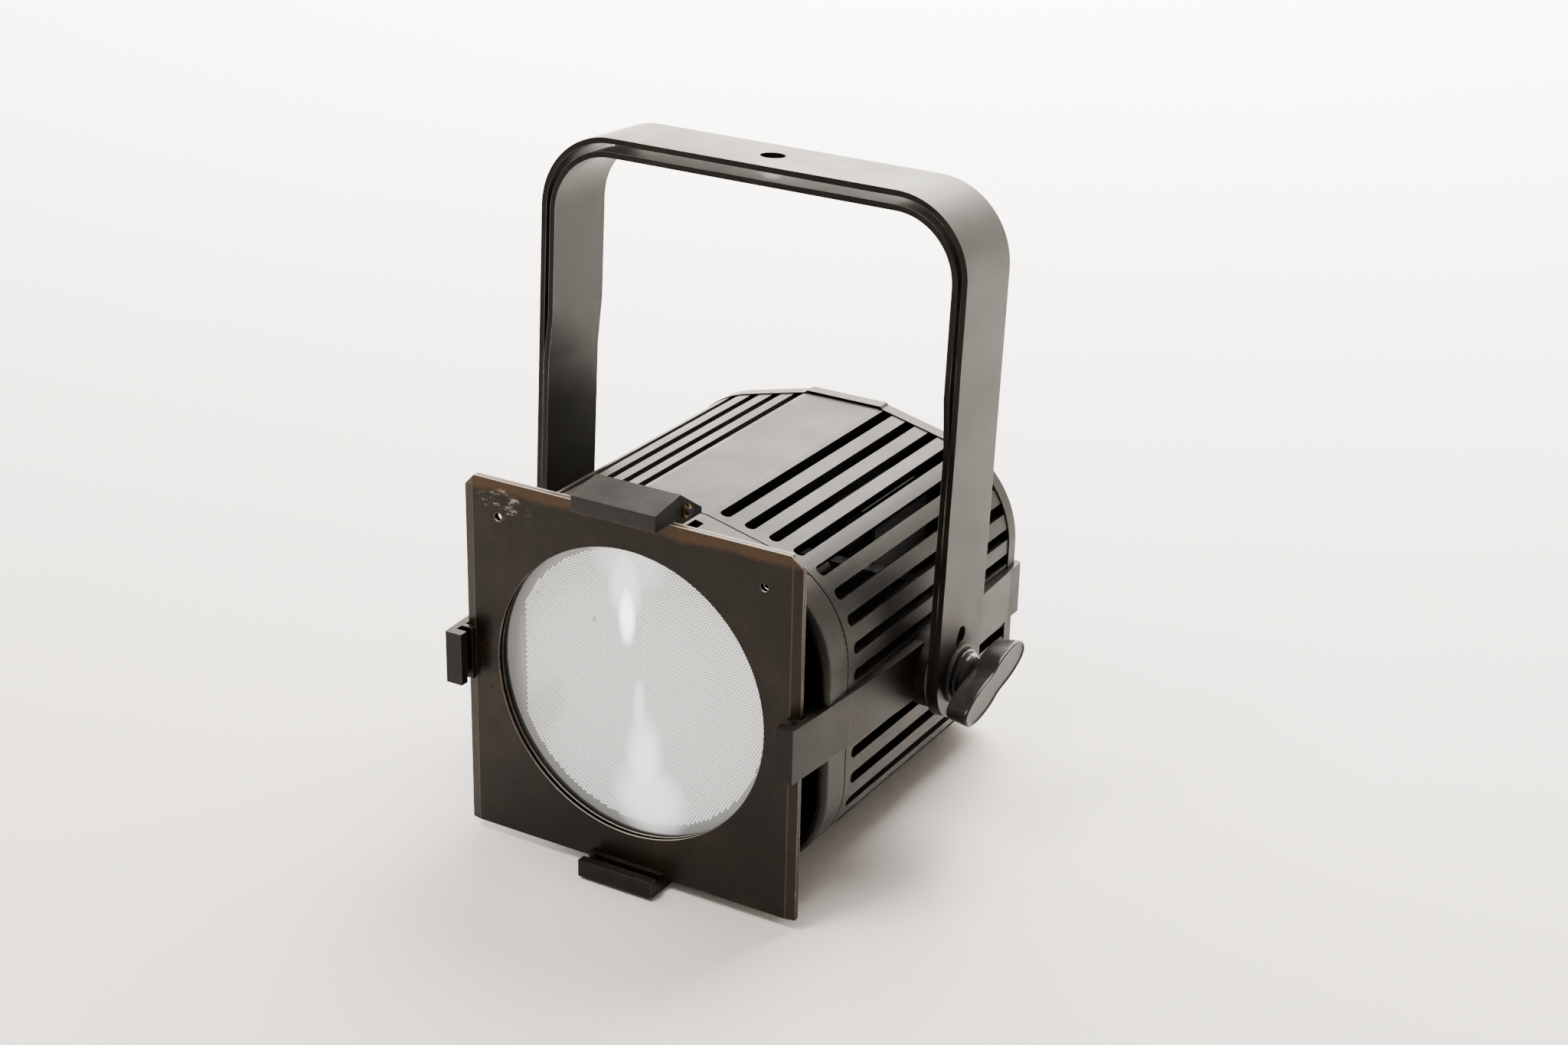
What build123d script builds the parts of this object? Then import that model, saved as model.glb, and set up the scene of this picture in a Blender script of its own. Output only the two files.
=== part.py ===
from build123d import *
import os
from math import acos, atan2, cos, degrees, hypot, pi, radians, sin

os.makedirs("parts", exist_ok=True)

# Fresnel spotlight for a studio or stage, in millimetres.
# X is to the right seen from the front, Y goes to the rear, Z is up.
# Depths are counted rearwards from the gel frame's front face, heights from the optical axis.

# Gel frame
gel_size = 190.0            # outside, square
gel_aperture = 152.4
gel_sheet = 0.9
gel_thickness = 3.9
gel_corner = 6.0            # cut off the two top corners
gel_edge_round = 0.3
gel_hem = 5.0               # sloped band down each side of the front leaf
gel_hem_drop = 1.1
gel_leaf_play = 0.2
gel_hole_radius = 2.2
gel_hole_inset = 20.0       # in from the frame's sides
gel_hole_drop = 19.0        # below its top edge

# Holders that carry the gel frame and one accessory in front of it
gel_rear_play = 0.3
slot_gap = gel_thickness + 0.7
holder_lip = 4.9
holder_rib = 2.6
holder_floor = 5.0
side_holder_height = 27.8
side_lip_overlap = 5.0      # how far a lip covers the gel frame's edge
side_slot_play = 1.2
side_holder_wall = 3.0
bottom_holder_width = 42.6
bottom_lip_overlap = 3.7

# Housing cross-section
body_margin = 5.6           # housing's side beyond the gel frame's
body_top = 87.0
flat_half = 21.0            # half of the flat top
shoulder_radius = 52.1
shoulder_height = 27.0      # above the axis, where the shoulder ends
corner_radius = 48.5
corner_height = 35.0        # below the axis, where the lower corner starts
wall = 7.0

# Housing along its depth
bezel_front = 17.0
seam = 36.0
bezel_wall = 4.0
rim_round = 3.0
seam_round = 0.8
web_thickness = 6.0
shell_length = 171.0
ring_depth = 9.0
ring_proud = 0.6
ring_round = 1.6
ring_flange = 7.0           # inwards from the wall
ring_pad_half = 23.5        # raised pad over the flat top
ring_pad_rise = 1.3
panel_thickness = 2.5
panel_recess = 1.5
seat_gap = 0.2              # between flat faces of pieces that move past each other

# Ventilation slots
vent_width = 6.0
vent_pitch = 13.9
vent_start = 6.0            # behind the seam
first_vent_up = 20.0        # from the axis, round the outline
first_vent_down = 21.5
upper_vents = 9
lower_vents = 5

# Belt and pivot
belt_half = 14.0
belt_front = 2.0            # proud of the side at the seam
belt_middle = 5.2           # proud at the pivot
belt_rear = 2.6
belt_overrun = 4.0          # behind the rear ring
pivot_depth = 115.0
pivot_height = -3.5
boss_radius = 20.0
boss_length = 10.6
stud_radius = 5.0
running_gap = 0.07

# Yokes
yoke_thickness = 3.0
yoke_width = 45.0
disc_thickness = 2.4        # friction disc between the boss and the inner yoke
yoke_reach = 242.3          # from the pivot to the top of the outer yoke
yoke_corner = 40.0
yoke_lean = 3.1             # degrees, to the rear at rest
yoke_top_gap = 4.0          # between the two yokes at the top
yoke_side_gap = 2.2         # between their upper legs
jog_height = 146.0          # the inner yoke steps out to the outer one below this
jog_length = 26.0
hang_hole_radius = 6.5
lock_hole_radius = 4.2
lock_hole_reach = 21.1
lock_notch = 3.0            # the notch's middle, to the front and down from the lock hole's
lock_notch_radius = 2.4
jog_round = 30.0
set_screw_radius = 3.0

# Knob
washer_radius = 15.0
washer_thickness = 2.0
washer_round = 0.5
stud_inset = 2.4            # from the housing's inner side
knob_flange_thickness = 2.6
knob_hub_length = 3.0
knob_belly = 12.0           # out from the middle to the fullest part of each wing
knob_bulge_high = 10.0
knob_bulge_low = 8.4
knob_tip_round = 2.5
knob_round = 2.0
knob_length = 68.0
knob_thickness = 13.0
knob_hub_radius = 11.5
knob_flange_radius = 13.5
knob_tilt = 12.9            # degrees, rear end up

# Lens and light engine
lens_radius = 80.2
lens_thickness = 4.0
lens_depth = 8.3            # of the lens's front rim
lens_window = 77.0
lens_ring_thickness = 1.3
gasket_thickness = 2.0
barrel_front = 6.0
barrel_bore = 80.5
barrel_wall = 2.7
shoulder_bore = 77.5
tube_flange = 2.0
tube_wall = 1.6
tube_rear_radius = 30.0
tube_mouth = 72.0
holder_plate = 2.6          # LED holder, in front of the board
holder_rim = 5.0
holder_inner_lip = 0.5      # over the tube's rear end
holder_screw_circle = 36.7
board_depth = 122.4         # front face of the LED board
board_radius = 34.0
board_thickness = 1.6
led_size = 3.4
led_height = 1.0
led_pitch = 8.4
sink_base = 8.0
sink_base_height = 70.0
fin_count = 17
fin_pitch = 7.6
fin_thickness = 1.6
fin_depth = 56.0
fin_top = 62.0
fin_bottom = -50.0

# Driver under the light path
tray_half = 46.0
tray_front = 62.0
tray_length = 128.0
tray_sheet = 1.2
tray_lip = 10.0
driver_board_thickness = 1.6
driver_standoff = 5.0
driver_margin = 4.0
standoff_inset = 5.0
standoff_radius = 3.0
transformer_size = 26.0
transformer_height = 11.0
capacitor_radius = 5.0
capacitor_pitch = 12.5
capacitor_height = 9.0

# Controls and connectors on the rear panel
control_half = 70.0
control_height = 56.0
control_thickness = 1.6
switch_size = 6.0
switch_height = 3.5
switch_plunger = 1.8
module_margin = 10.0
module_gap = 1.5            # between the display module and the rear panel
display_width = 52.0
display_height = 17.0
display_up = 40.0
button_radius = 3.6
button_up = 18.0
button_pitch = 18.0
button_count = 4
button_proud = 2.4
button_travel = 1.0
button_flange = 1.2
button_play = 0.15
button_round = 0.8
connector_down = 32.0
connector_pitch = 38.0
connector_width = 26.0
connector_height = 31.0
connector_flange = 2.0
connector_round = 3.0
connector_length = 24.0
connector_barrel = 11.8
socket_radius = 8.6
socket_depth = 13.0
core_recess = 1.5
power_core = 4.2
data_core = 7.4
key_depth = 1.6
key_width = 3.0
contact_circle = 4.3
contact_radius = 1.2
contact_length = 10.0
blade_thickness = 1.0
blade_width = 3.0
tab_width = 8.0
tab_height = 2.6
tab_rise = 13.0
tab_travel = 1.2
fuse_down = 60.0
fuse_radius = 7.5
fuse_flange = 1.5
fuse_barrel = 6.4
fuse_length = 22.0
fuse_stem = 4.4
fuse_stem_gap = 2.0         # left between the stem and the holder's bottom
fuse_cap_radius = 6.5
fuse_head = 3.5
fuse_slot = 1.2
control_board_gap = 10.4    # between the board and the rear panel
safety_up = 60.0
safety_reach = 20.0
safety_hole_radius = 6.0
safety_plate = 3.0
safety_base_width = 24.0
safety_base_height = 22.0
ear_radius = 9.0

# Latch over the gel frame's top edge
latch_width = 47.0
latch_sheet = 2.2
latch_clearance = 0.4
latch_pin_depth = 14.0
latch_pin_up = 2.4          # above the gel frame's top edge
latch_pin_radius = 2.0
latch_front_height = 8.4
latch_ridge_depth = 9.0
latch_ridge_up = 12.2
latch_tail_depth = 28.0
latch_tail_up = -0.6
latch_tail_drop = 3.0
latch_knee_depth = 5.0
latch_round = 0.6
lug_width = 26.0
lug_radius = 3.8
latch_notch_depth = 11.0    # notches in the bezel's rim for the latch's tail
latch_notch_width = 5.0
latch_notch_height = 10.0
latch_pin_half = 26.5
clip_radius = 3.4
clip_thickness = 0.8
spring_wire = 0.6
spring_pitch = 1.6
spring_turns = 3.5

# Fasteners
corner_screw_in = 31.6      # in from the housing's sides
corner_screw_drop = 26.0    # below its top
corner_screw_rise = 16.5    # above its underside
corner_screw_shank = 2.0
corner_post_radius = 6.5
corner_post_length = 26.0
panel_screw_spots = (0.035, 0.31, 0.585, 0.84)    # shares of the way round, top to bottom
panel_screw_head = 3.2
panel_screw_shank = 1.9
pan_head_height = 0.6       # shares of a screw head's radius
pan_drive_size = 0.5
pan_drive_depth = 0.35
small_head = 2.4
small_shank = 1.25
screw_across = 9.5          # from a connector's middle
screw_rise = 12.0
safety_screw_across = 8.0

# Worked out from the above
gel_half = gel_size / 2
gel_hole_across = gel_half - gel_hole_inset
gel_hole_height = gel_half - gel_hole_drop
half_width = gel_half + body_margin
boss_reach = half_width + boss_length
slot_two = gel_thickness + gel_rear_play - slot_gap
slot_one = slot_two - holder_rib - slot_gap
lip_front = slot_one - holder_lip
holder_back = slot_two + slot_gap
axis_z = gel_half + seat_gap + holder_floor
shell_end = seam + shell_length
ring_end = shell_end + ring_depth
panel_back = ring_end - panel_recess
panel_front = panel_back - panel_thickness
rear_reach = panel_back + safety_reach
face_y = -(rear_reach + lip_front) / 2
pivot_y = face_y + pivot_depth
pivot_z = axis_z + pivot_height
latch_pin_z = gel_half + latch_pin_up
corner_x = half_width - corner_radius
shoulder_x = half_width - shoulder_radius
body_bottom = corner_height + corner_radius
arm_front = gel_half + side_slot_play + side_holder_wall
inner_leg_out = boss_reach + seat_gap + disc_thickness + yoke_thickness
yoke_half_span = inner_leg_out + seat_gap + yoke_thickness
tube_front = lens_depth + lens_thickness + gasket_thickness


def across(depth):
    """Plane square to the optical axis: sketches hold (x, height), extrude(-n) goes to the rear."""
    return Plane(origin=(0, face_y + depth, axis_z), x_dir=(1, 0, 0), z_dir=(0, -1, 0))


def side(x):
    """Upright plane facing +X: sketches hold (depth, height)."""
    return Plane(origin=(x, face_y, axis_z), x_dir=(0, 1, 0), z_dir=(1, 0, 0))


def plan(height):
    """Level plane: sketches hold (x, depth)."""
    return Plane(origin=(0, face_y, axis_z + height), x_dir=(1, 0, 0), z_dir=(0, 0, 1))


def behind(depth):
    """Plane facing rearwards: sketches hold (x, minus height), extrude(n) goes to the rear."""
    return Plane(origin=(0, face_y + depth, axis_z), x_dir=(1, 0, 0), z_dir=(0, 1, 0))


def flipped(places):
    """Turns (x, height) pairs over for a plane that faces rearwards."""
    return [(x, -height) for x, height in places]


def save(builder, name):
    builder.part.label = name
    export_step(builder.part, f"parts/{name}.step")


def section_outline(inset):
    """Right half of the housing's outline, from the middle of the top to the middle of the bottom."""
    top = body_top - inset
    bottom = body_bottom - inset
    shoulder = shoulder_radius - inset
    corner = corner_radius - inset
    across_gap = flat_half - shoulder_x
    up_gap = top - shoulder_height
    reach = hypot(across_gap, up_gap)
    touch = atan2(up_gap, across_gap) - acos(shoulder / reach)
    touch_point = (shoulder_x + shoulder * cos(touch), shoulder_height + shoulder * sin(touch))
    Line((0, top), (flat_half, top))
    Line((flat_half, top), touch_point)
    CenterArc((shoulder_x, shoulder_height), shoulder, 0, degrees(touch))
    Line((half_width - inset, shoulder_height), (half_width - inset, -corner_height))
    CenterArc((corner_x, -corner_height), corner, -90, 90)
    Line((corner_x, -bottom), (0, -bottom))


def section_face(inset, mode=Mode.ADD):
    """The housing's whole cross-section, inset all round."""
    with BuildLine() as loop:
        section_outline(inset)
        mirror(about=Plane.YZ)
    make_face(loop.edges(), mode=mode)


def polygon(points, mode=Mode.ADD):
    """A straight-sided face on the active sketch."""
    with BuildLine() as loop:
        Polyline(*points, close=True)
    make_face(loop.edges(), mode=mode)


def mirrored(builder, name):
    """The left-hand twin of a right-hand piece."""
    with BuildPart() as twin:
        mirror(builder.part, about=Plane.YZ)
    save(twin, name)
    return twin


def pan_screws(name, plane, places, head, shank, length):
    """A group of pan-head screws whose heads sit on the plane and whose shanks go into it."""
    with BuildPart() as screws:
        with BuildSketch(plane):
            with Locations(*places):
                Circle(head)
        extrude(amount=pan_head_height * head)
        with BuildSketch(plane):
            with Locations(*places):
                Circle(shank)
        extrude(amount=-length)
        with BuildSketch(plane.offset(pan_head_height * head)):
            with Locations(*places):
                RegularPolygon(pan_drive_size * head, 6)
        extrude(amount=-pan_drive_depth * head, mode=Mode.SUBTRACT)
    save(screws, name)


# Gel frame: front leaf with turned sides, open at the bottom, and the back leaf between them
with BuildPart() as gel_frame:
    with BuildSketch(plan(-gel_half)):
        polygon(
            [
                (-gel_half, gel_thickness),
                (-gel_half, gel_hem_drop),
                (gel_hem - gel_half, 0),
                (gel_half - gel_hem, 0),
                (gel_half, gel_hem_drop),
                (gel_half, gel_thickness),
            ]
        )
    extrude(amount=gel_size)
    fillet(gel_frame.faces().sort_by(Axis.Y)[0].edges().sort_by(Axis.Z)[-1], gel_edge_round)
    with BuildSketch(plan(-gel_half)):
        polygon(
            [
                (gel_sheet - gel_half, gel_thickness),
                (gel_sheet - gel_half, gel_sheet + gel_hem_drop),
                (gel_hem - gel_half, gel_sheet),
                (gel_half - gel_hem, gel_sheet),
                (gel_half - gel_sheet, gel_sheet + gel_hem_drop),
                (gel_half - gel_sheet, gel_thickness),
            ]
        )
    extrude(amount=gel_size - gel_sheet, mode=Mode.SUBTRACT)
    with BuildSketch(across(0)):
        Circle(gel_aperture / 2)
        with Locations((-gel_hole_across, gel_hole_height), (gel_hole_across, gel_hole_height)):
            Circle(gel_hole_radius)
        for end in (-1, 1):
            polygon(
                [
                    (end * gel_half, gel_half),
                    (end * (gel_half - gel_corner), gel_half),
                    (end * gel_half, gel_half - gel_corner),
                ]
            )
    extrude(amount=-gel_thickness, mode=Mode.SUBTRACT)
save(gel_frame, "gel_frame")

with BuildPart() as gel_frame_back:
    leaf = gel_size - 2 * gel_sheet - 2 * gel_leaf_play
    with BuildSketch(across(gel_thickness - gel_sheet)):
        Rectangle(leaf, leaf)
        chamfer(vertices().group_by(Axis.Y)[-1], gel_corner)
        Circle(gel_aperture / 2, mode=Mode.SUBTRACT)
        with Locations((-gel_hole_across, gel_hole_height), (gel_hole_across, gel_hole_height)):
            Circle(gel_hole_radius, mode=Mode.SUBTRACT)
    extrude(amount=-gel_sheet)
save(gel_frame_back, "gel_frame_back")

# Front bezel: a cast rim and web that carry the lens barrel, three holders and the latch's lug
corner_screws = [
    (end * (half_width - corner_screw_in), height)
    for end in (-1, 1)
    for height in (body_top - corner_screw_drop, corner_screw_rise - body_bottom)
]
with BuildPart() as front_bezel:
    with BuildSketch(across(bezel_front)):
        section_face(0)
    extrude(amount=-(seam - bezel_front))
    fillet(faces().sort_by(Axis.Y)[0].edges(), rim_round)
    fillet(faces().sort_by(Axis.Y)[-1].edges(), seam_round)
    with BuildSketch(across(bezel_front)):
        section_face(bezel_wall)
    extrude(amount=-(seam - bezel_front - web_thickness), mode=Mode.SUBTRACT)
    with BuildSketch(across(barrel_front)):
        Circle(barrel_bore + barrel_wall)
    extrude(amount=-(seam - barrel_front))
    with BuildSketch(plan(-side_holder_height / 2)):
        for end in (-1, 1):
            polygon(
                [
                    (end * (gel_half - side_lip_overlap), lip_front),
                    (end * arm_front, lip_front),
                    (end * (half_width + belt_front), seam),
                    (end * (gel_half - side_lip_overlap), seam),
                ]
            )
    extrude(amount=side_holder_height)
    with BuildSketch(side(-bottom_holder_width / 2)):
        polygon(
            [
                (lip_front, -axis_z),
                (barrel_front, -axis_z),
                (seam - seam_round, -body_bottom),
                (seam - seam_round, -barrel_bore),
                (holder_back, -barrel_bore),
                (holder_back, -gel_half + bottom_lip_overlap),
                (lip_front, -gel_half + bottom_lip_overlap),
            ]
        )
    extrude(amount=bottom_holder_width)
    with BuildSketch(side(-lug_width / 2)):
        polygon(
            [
                (latch_pin_depth - lug_radius, barrel_bore),
                (seam - web_thickness, barrel_bore),
                (seam - web_thickness, body_top),
                (latch_pin_depth + lug_radius, latch_pin_z),
                (latch_pin_depth - lug_radius, latch_pin_z),
            ]
        )
        with Locations((latch_pin_depth, latch_pin_z)):
            Circle(lug_radius)
    extrude(amount=lug_width)
    for start in (slot_one, slot_two):
        with BuildSketch(across(start)):
            with Locations((0, gel_half)):
                Rectangle(
                    gel_size + 2 * side_slot_play,
                    2 * gel_size + 2 * seat_gap,
                )
        extrude(amount=-slot_gap, mode=Mode.SUBTRACT)
    with BuildSketch(across(barrel_front)):
        Circle(barrel_bore)
    extrude(amount=-(tube_front + tube_flange - barrel_front), mode=Mode.SUBTRACT)
    with BuildSketch(across(barrel_front)):
        Circle(shoulder_bore)
    extrude(amount=-(seam - barrel_front), mode=Mode.SUBTRACT)
    with BuildSketch(across(bezel_front)):
        for end in (-1, 1):
            with Locations((end * (latch_width / 2 - latch_sheet / 2), body_top)):
                Rectangle(latch_notch_width, latch_notch_height)
    extrude(amount=-latch_notch_depth, mode=Mode.SUBTRACT)
    with BuildSketch(side(-lug_width / 2)):
        with Locations((latch_pin_depth, latch_pin_z)):
            Circle(latch_pin_radius + running_gap)
    extrude(amount=lug_width, mode=Mode.SUBTRACT)
    with BuildSketch(across(seam - web_thickness)):
        with Locations(*corner_screws):
            Circle(corner_screw_shank + running_gap)
    extrude(amount=-web_thickness, mode=Mode.SUBTRACT)
save(front_bezel, "front_bezel")

# Main housing: a cast shell with long vents, a belt along each side and a boss at each pivot
with BuildLine() as outline:
    section_outline(0)
round_trip = outline.wires()[0]
below_belt = corner_height + corner_radius * pi / 2 + corner_x
belt_at = round_trip.length - below_belt
vent_places = [belt_at - first_vent_up - vent_pitch * i for i in range(upper_vents)]
vent_places += [belt_at + first_vent_down + vent_pitch * i for i in range(lower_vents)]
vent_length = shell_length - vent_start
with BuildPart() as main_housing:
    with BuildSketch(across(seam)):
        section_face(0)
    extrude(amount=-shell_length)
    fillet(faces().sort_by(Axis.Y)[0].edges(), seam_round)
    with BuildSketch(plan(-belt_half)):
        with BuildLine():
            ThreePointArc(
                (half_width + belt_front, seam),
                (half_width + belt_middle, pivot_depth),
                (half_width + belt_rear, shell_end),
            )
            Polyline(
                (half_width + belt_rear, shell_end),
                (half_width - wall / 2, shell_end),
                (half_width - wall / 2, seam),
                (half_width + belt_front, seam),
            )
        make_face()
        mirror(about=Plane.YZ)
    extrude(amount=2 * belt_half)
    for end in (-1, 1):
        with BuildSketch(side(end * half_width)):
            with Locations((pivot_depth, pivot_height)):
                Circle(boss_radius)
        extrude(amount=end * (boss_reach - half_width))
    with BuildSketch(across(seam)):
        section_face(wall)
    extrude(amount=-shell_length, mode=Mode.SUBTRACT)
    for place in vent_places:
        spot = round_trip.position_at(place, position_mode=PositionMode.LENGTH)
        along = round_trip.tangent_at(place, position_mode=PositionMode.LENGTH)
        for end in (-1, 1):
            vent_plane = Plane(
                origin=(end * spot.X, face_y + seam + vent_start, axis_z + spot.Y),
                x_dir=(0, 1, 0),
                z_dir=(-end * along.Y, 0, along.X),
            )
            with BuildSketch(vent_plane.offset(vent_width / 2)):
                with Locations((vent_length, 0)):
                    SlotOverall(2 * vent_length, vent_width)
            extrude(amount=-(wall + vent_width), mode=Mode.SUBTRACT)
    with BuildSketch(across(seam)):
        with Locations(*corner_screws):
            Circle(corner_post_radius)
    extrude(amount=-corner_post_length)
    with BuildSketch(across(seam)):
        with Locations(*corner_screws):
            Circle(corner_screw_shank + running_gap)
    extrude(amount=-corner_post_length, mode=Mode.SUBTRACT)
    with BuildSketch(side(-boss_reach)):
        with Locations((pivot_depth, pivot_height)):
            Circle(stud_radius + running_gap)
    extrude(amount=2 * boss_reach, mode=Mode.SUBTRACT)
save(main_housing, "main_housing")
pan_screws(
    "bezel_screws",
    across(seam - web_thickness),
    corner_screws,
    panel_screw_head,
    corner_screw_shank,
    corner_post_length,
)

# Rear ring: closes the vents' open ends and holds the rear panel on an inner flange
with BuildLine() as flange_line:
    section_outline(wall + ring_flange / 2)
panel_screw_places = []
for share in panel_screw_spots:
    spot = flange_line.wires()[0].position_at(share)
    panel_screw_places += [(spot.X, spot.Y), (-spot.X, spot.Y)]
with BuildPart() as rear_ring:
    with BuildSketch(across(shell_end)):
        section_face(-ring_proud)
    extrude(amount=-ring_depth)
    fillet(faces().sort_by(Axis.Y)[-1].edges(), ring_round)
    with BuildSketch(across(shell_end)):
        polygon(
            [
                (-ring_pad_half, body_top),
                (ring_pad_rise - ring_pad_half, body_top + ring_pad_rise),
                (ring_pad_half - ring_pad_rise, body_top + ring_pad_rise),
                (ring_pad_half, body_top),
            ]
        )
    extrude(amount=ring_round - ring_depth)
    with BuildSketch(across(shell_end)):
        section_face(wall)
    extrude(amount=-ring_depth, mode=Mode.SUBTRACT)
    with BuildSketch(across(shell_end)):
        section_face(wall)
        section_face(wall + ring_flange, mode=Mode.SUBTRACT)
    extrude(amount=-(panel_front - shell_end))
    with BuildSketch(plan(-belt_half)):
        for end in (-1, 1):
            polygon(
                [
                    (end * (half_width + belt_rear), shell_end),
                    (end * (half_width + belt_rear), ring_end + belt_overrun - ring_round),
                    (end * (half_width + belt_rear - ring_round), ring_end + belt_overrun),
                    (end * (half_width - wall / 2), ring_end + belt_overrun),
                    (end * (half_width - wall / 2), shell_end),
                ]
            )
    extrude(amount=2 * belt_half)
    with BuildSketch(across(panel_front)):
        with Locations(*panel_screw_places):
            Circle(panel_screw_shank + running_gap)
    extrude(amount=panel_front - shell_end, mode=Mode.SUBTRACT)
save(rear_ring, "rear_ring")

# Rear panel with its openings
connector_spots = [connector_pitch * (i - 1.5) for i in range(4)]
button_spots = [button_pitch * (i - (button_count - 1) / 2) for i in range(button_count)]
with BuildPart() as rear_panel:
    with BuildSketch(across(panel_front)):
        section_face(wall + seat_gap)
        with Locations((0, display_up)):
            Rectangle(display_width, display_height, mode=Mode.SUBTRACT)
        with Locations(*[(x, button_up) for x in button_spots]):
            Circle(button_radius + button_play, mode=Mode.SUBTRACT)
        with Locations(*[(x, -connector_down) for x in connector_spots]):
            Circle(connector_barrel + button_play, mode=Mode.SUBTRACT)
            with Locations((-screw_across, screw_rise), (screw_across, -screw_rise)):
                Circle(small_shank + running_gap, mode=Mode.SUBTRACT)
        with Locations((0, -fuse_down)):
            Circle(fuse_barrel + button_play, mode=Mode.SUBTRACT)
        with Locations((-safety_screw_across, safety_up), (safety_screw_across, safety_up)):
            Circle(small_shank + running_gap, mode=Mode.SUBTRACT)
        with Locations(*panel_screw_places):
            Circle(panel_screw_shank + running_gap, mode=Mode.SUBTRACT)
    extrude(amount=-panel_thickness)
save(rear_panel, "rear_panel")
pan_screws(
    "panel_screws",
    behind(panel_back),
    flipped(panel_screw_places),
    panel_screw_head,
    panel_screw_shank,
    panel_back - shell_end,
)

# Lens, the ring that holds it in the barrel, its gasket, and the light tube behind
with BuildPart() as lens:
    with BuildSketch(across(lens_depth)):
        Circle(lens_radius)
    extrude(amount=-lens_thickness)
save(lens, "lens")

with BuildPart() as lens_ring:
    with BuildSketch(across(lens_depth - lens_ring_thickness)):
        Circle(lens_radius)
        Circle(lens_window, mode=Mode.SUBTRACT)
    extrude(amount=-lens_ring_thickness)
save(lens_ring, "lens_ring")

with BuildPart() as lens_gasket:
    with BuildSketch(across(lens_depth + lens_thickness)):
        Circle(lens_radius)
        Circle(shoulder_bore, mode=Mode.SUBTRACT)
    extrude(amount=-gasket_thickness)
save(lens_gasket, "lens_gasket")

optical_axis = Axis((0, face_y, axis_z), (0, 1, 0))
tube_end = board_depth - holder_plate
with BuildPart() as light_tube:
    with BuildSketch(side(0)):
        polygon(
            [
                (tube_front, tube_mouth),
                (tube_front, lens_radius),
                (tube_front + tube_flange, lens_radius),
                (tube_front + tube_flange, tube_mouth + tube_wall),
                (tube_end, tube_rear_radius + tube_wall),
                (tube_end, tube_rear_radius),
            ]
        )
    revolve(axis=optical_axis)
save(light_tube, "light_tube")

# Light engine: LED board in its holder on the heat sink
sink_front = board_depth + board_thickness
holder_screw_spots = [
    (holder_screw_circle * cos(radians(a)), holder_screw_circle * sin(radians(a)))
    for a in (90, 210, 330)
]
with BuildPart() as led_holder:
    with BuildSketch(across(tube_end)):
        Circle(board_radius + holder_rim)
        Circle(tube_rear_radius - holder_inner_lip, mode=Mode.SUBTRACT)
    extrude(amount=-(sink_front - tube_end))
    with BuildSketch(across(board_depth - seat_gap)):
        Circle(board_radius + seat_gap)
    extrude(amount=-(sink_front - tube_end), mode=Mode.SUBTRACT)
    with BuildSketch(across(tube_end)):
        with Locations(*holder_screw_spots):
            Circle(small_shank + running_gap)
    extrude(amount=-(sink_front - tube_end), mode=Mode.SUBTRACT)
save(led_holder, "led_holder")

with BuildPart() as led_board:
    with BuildSketch(across(board_depth)):
        Circle(board_radius)
    extrude(amount=-board_thickness)
save(led_board, "led_board")

led_spots = [(0, 0)]
for row, count in ((1, 6), (2, 12)):
    for i in range(count):
        turn = radians(360 * i / count)
        led_spots.append((row * led_pitch * cos(turn), row * led_pitch * sin(turn)))
with BuildPart() as led_chips:
    with BuildSketch(across(board_depth - led_height)):
        with Locations(*led_spots):
            Rectangle(led_size, led_size)
    extrude(amount=-led_height)
save(led_chips, "led_chips")

with BuildPart() as heat_sink:
    with BuildSketch(across(sink_front)):
        section_face(wall + seat_gap)
        Rectangle(2 * half_width, sink_base_height, mode=Mode.INTERSECT)
    extrude(amount=-sink_base)
    with BuildSketch(across(sink_front + sink_base)):
        with Locations((0, (fin_top + fin_bottom) / 2)):
            with GridLocations(fin_pitch, 1, fin_count, 1):
                Rectangle(fin_thickness, fin_top - fin_bottom)
    extrude(amount=-fin_depth)
    with BuildSketch(across(sink_front)):
        with Locations(*holder_screw_spots):
            Circle(small_shank + running_gap)
    extrude(amount=-sink_base, mode=Mode.SUBTRACT)
save(heat_sink, "heat_sink")
pan_screws(
    "holder_screws", across(tube_end), holder_screw_spots, small_head, small_shank, sink_base
)

# Driver: sheet tray on the housing's floor, standoffs, board and its large parts
tray_floor = wall - body_bottom + seat_gap
with BuildPart() as driver_tray:
    with BuildSketch(across(tray_front)):
        with Locations((0, tray_floor + tray_lip / 2)):
            Rectangle(2 * tray_half, tray_lip)
        with Locations((0, tray_floor + tray_sheet + tray_lip / 2)):
            Rectangle(2 * (tray_half - tray_sheet), tray_lip, mode=Mode.SUBTRACT)
    extrude(amount=-tray_length)
save(driver_tray, "driver_tray")

board_floor = tray_floor + tray_sheet + driver_standoff
board_top = board_floor + driver_board_thickness
driver_half = tray_half - tray_sheet - driver_margin
driver_middle = tray_front + tray_length / 2
with BuildPart() as driver_standoffs:
    with BuildSketch(plan(tray_floor + tray_sheet)):
        with Locations((0, driver_middle)):
            with GridLocations(
                2 * (driver_half - standoff_inset),
                tray_length - 2 * (driver_margin + standoff_inset),
                2,
                2,
            ):
                Circle(standoff_radius)
    extrude(amount=driver_standoff)
save(driver_standoffs, "driver_standoffs")

with BuildPart() as driver_board:
    with BuildSketch(plan(board_floor)):
        with Locations((0, driver_middle)):
            Rectangle(2 * driver_half, tray_length - 2 * driver_margin)
    extrude(amount=driver_board_thickness)
save(driver_board, "driver_board")

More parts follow.
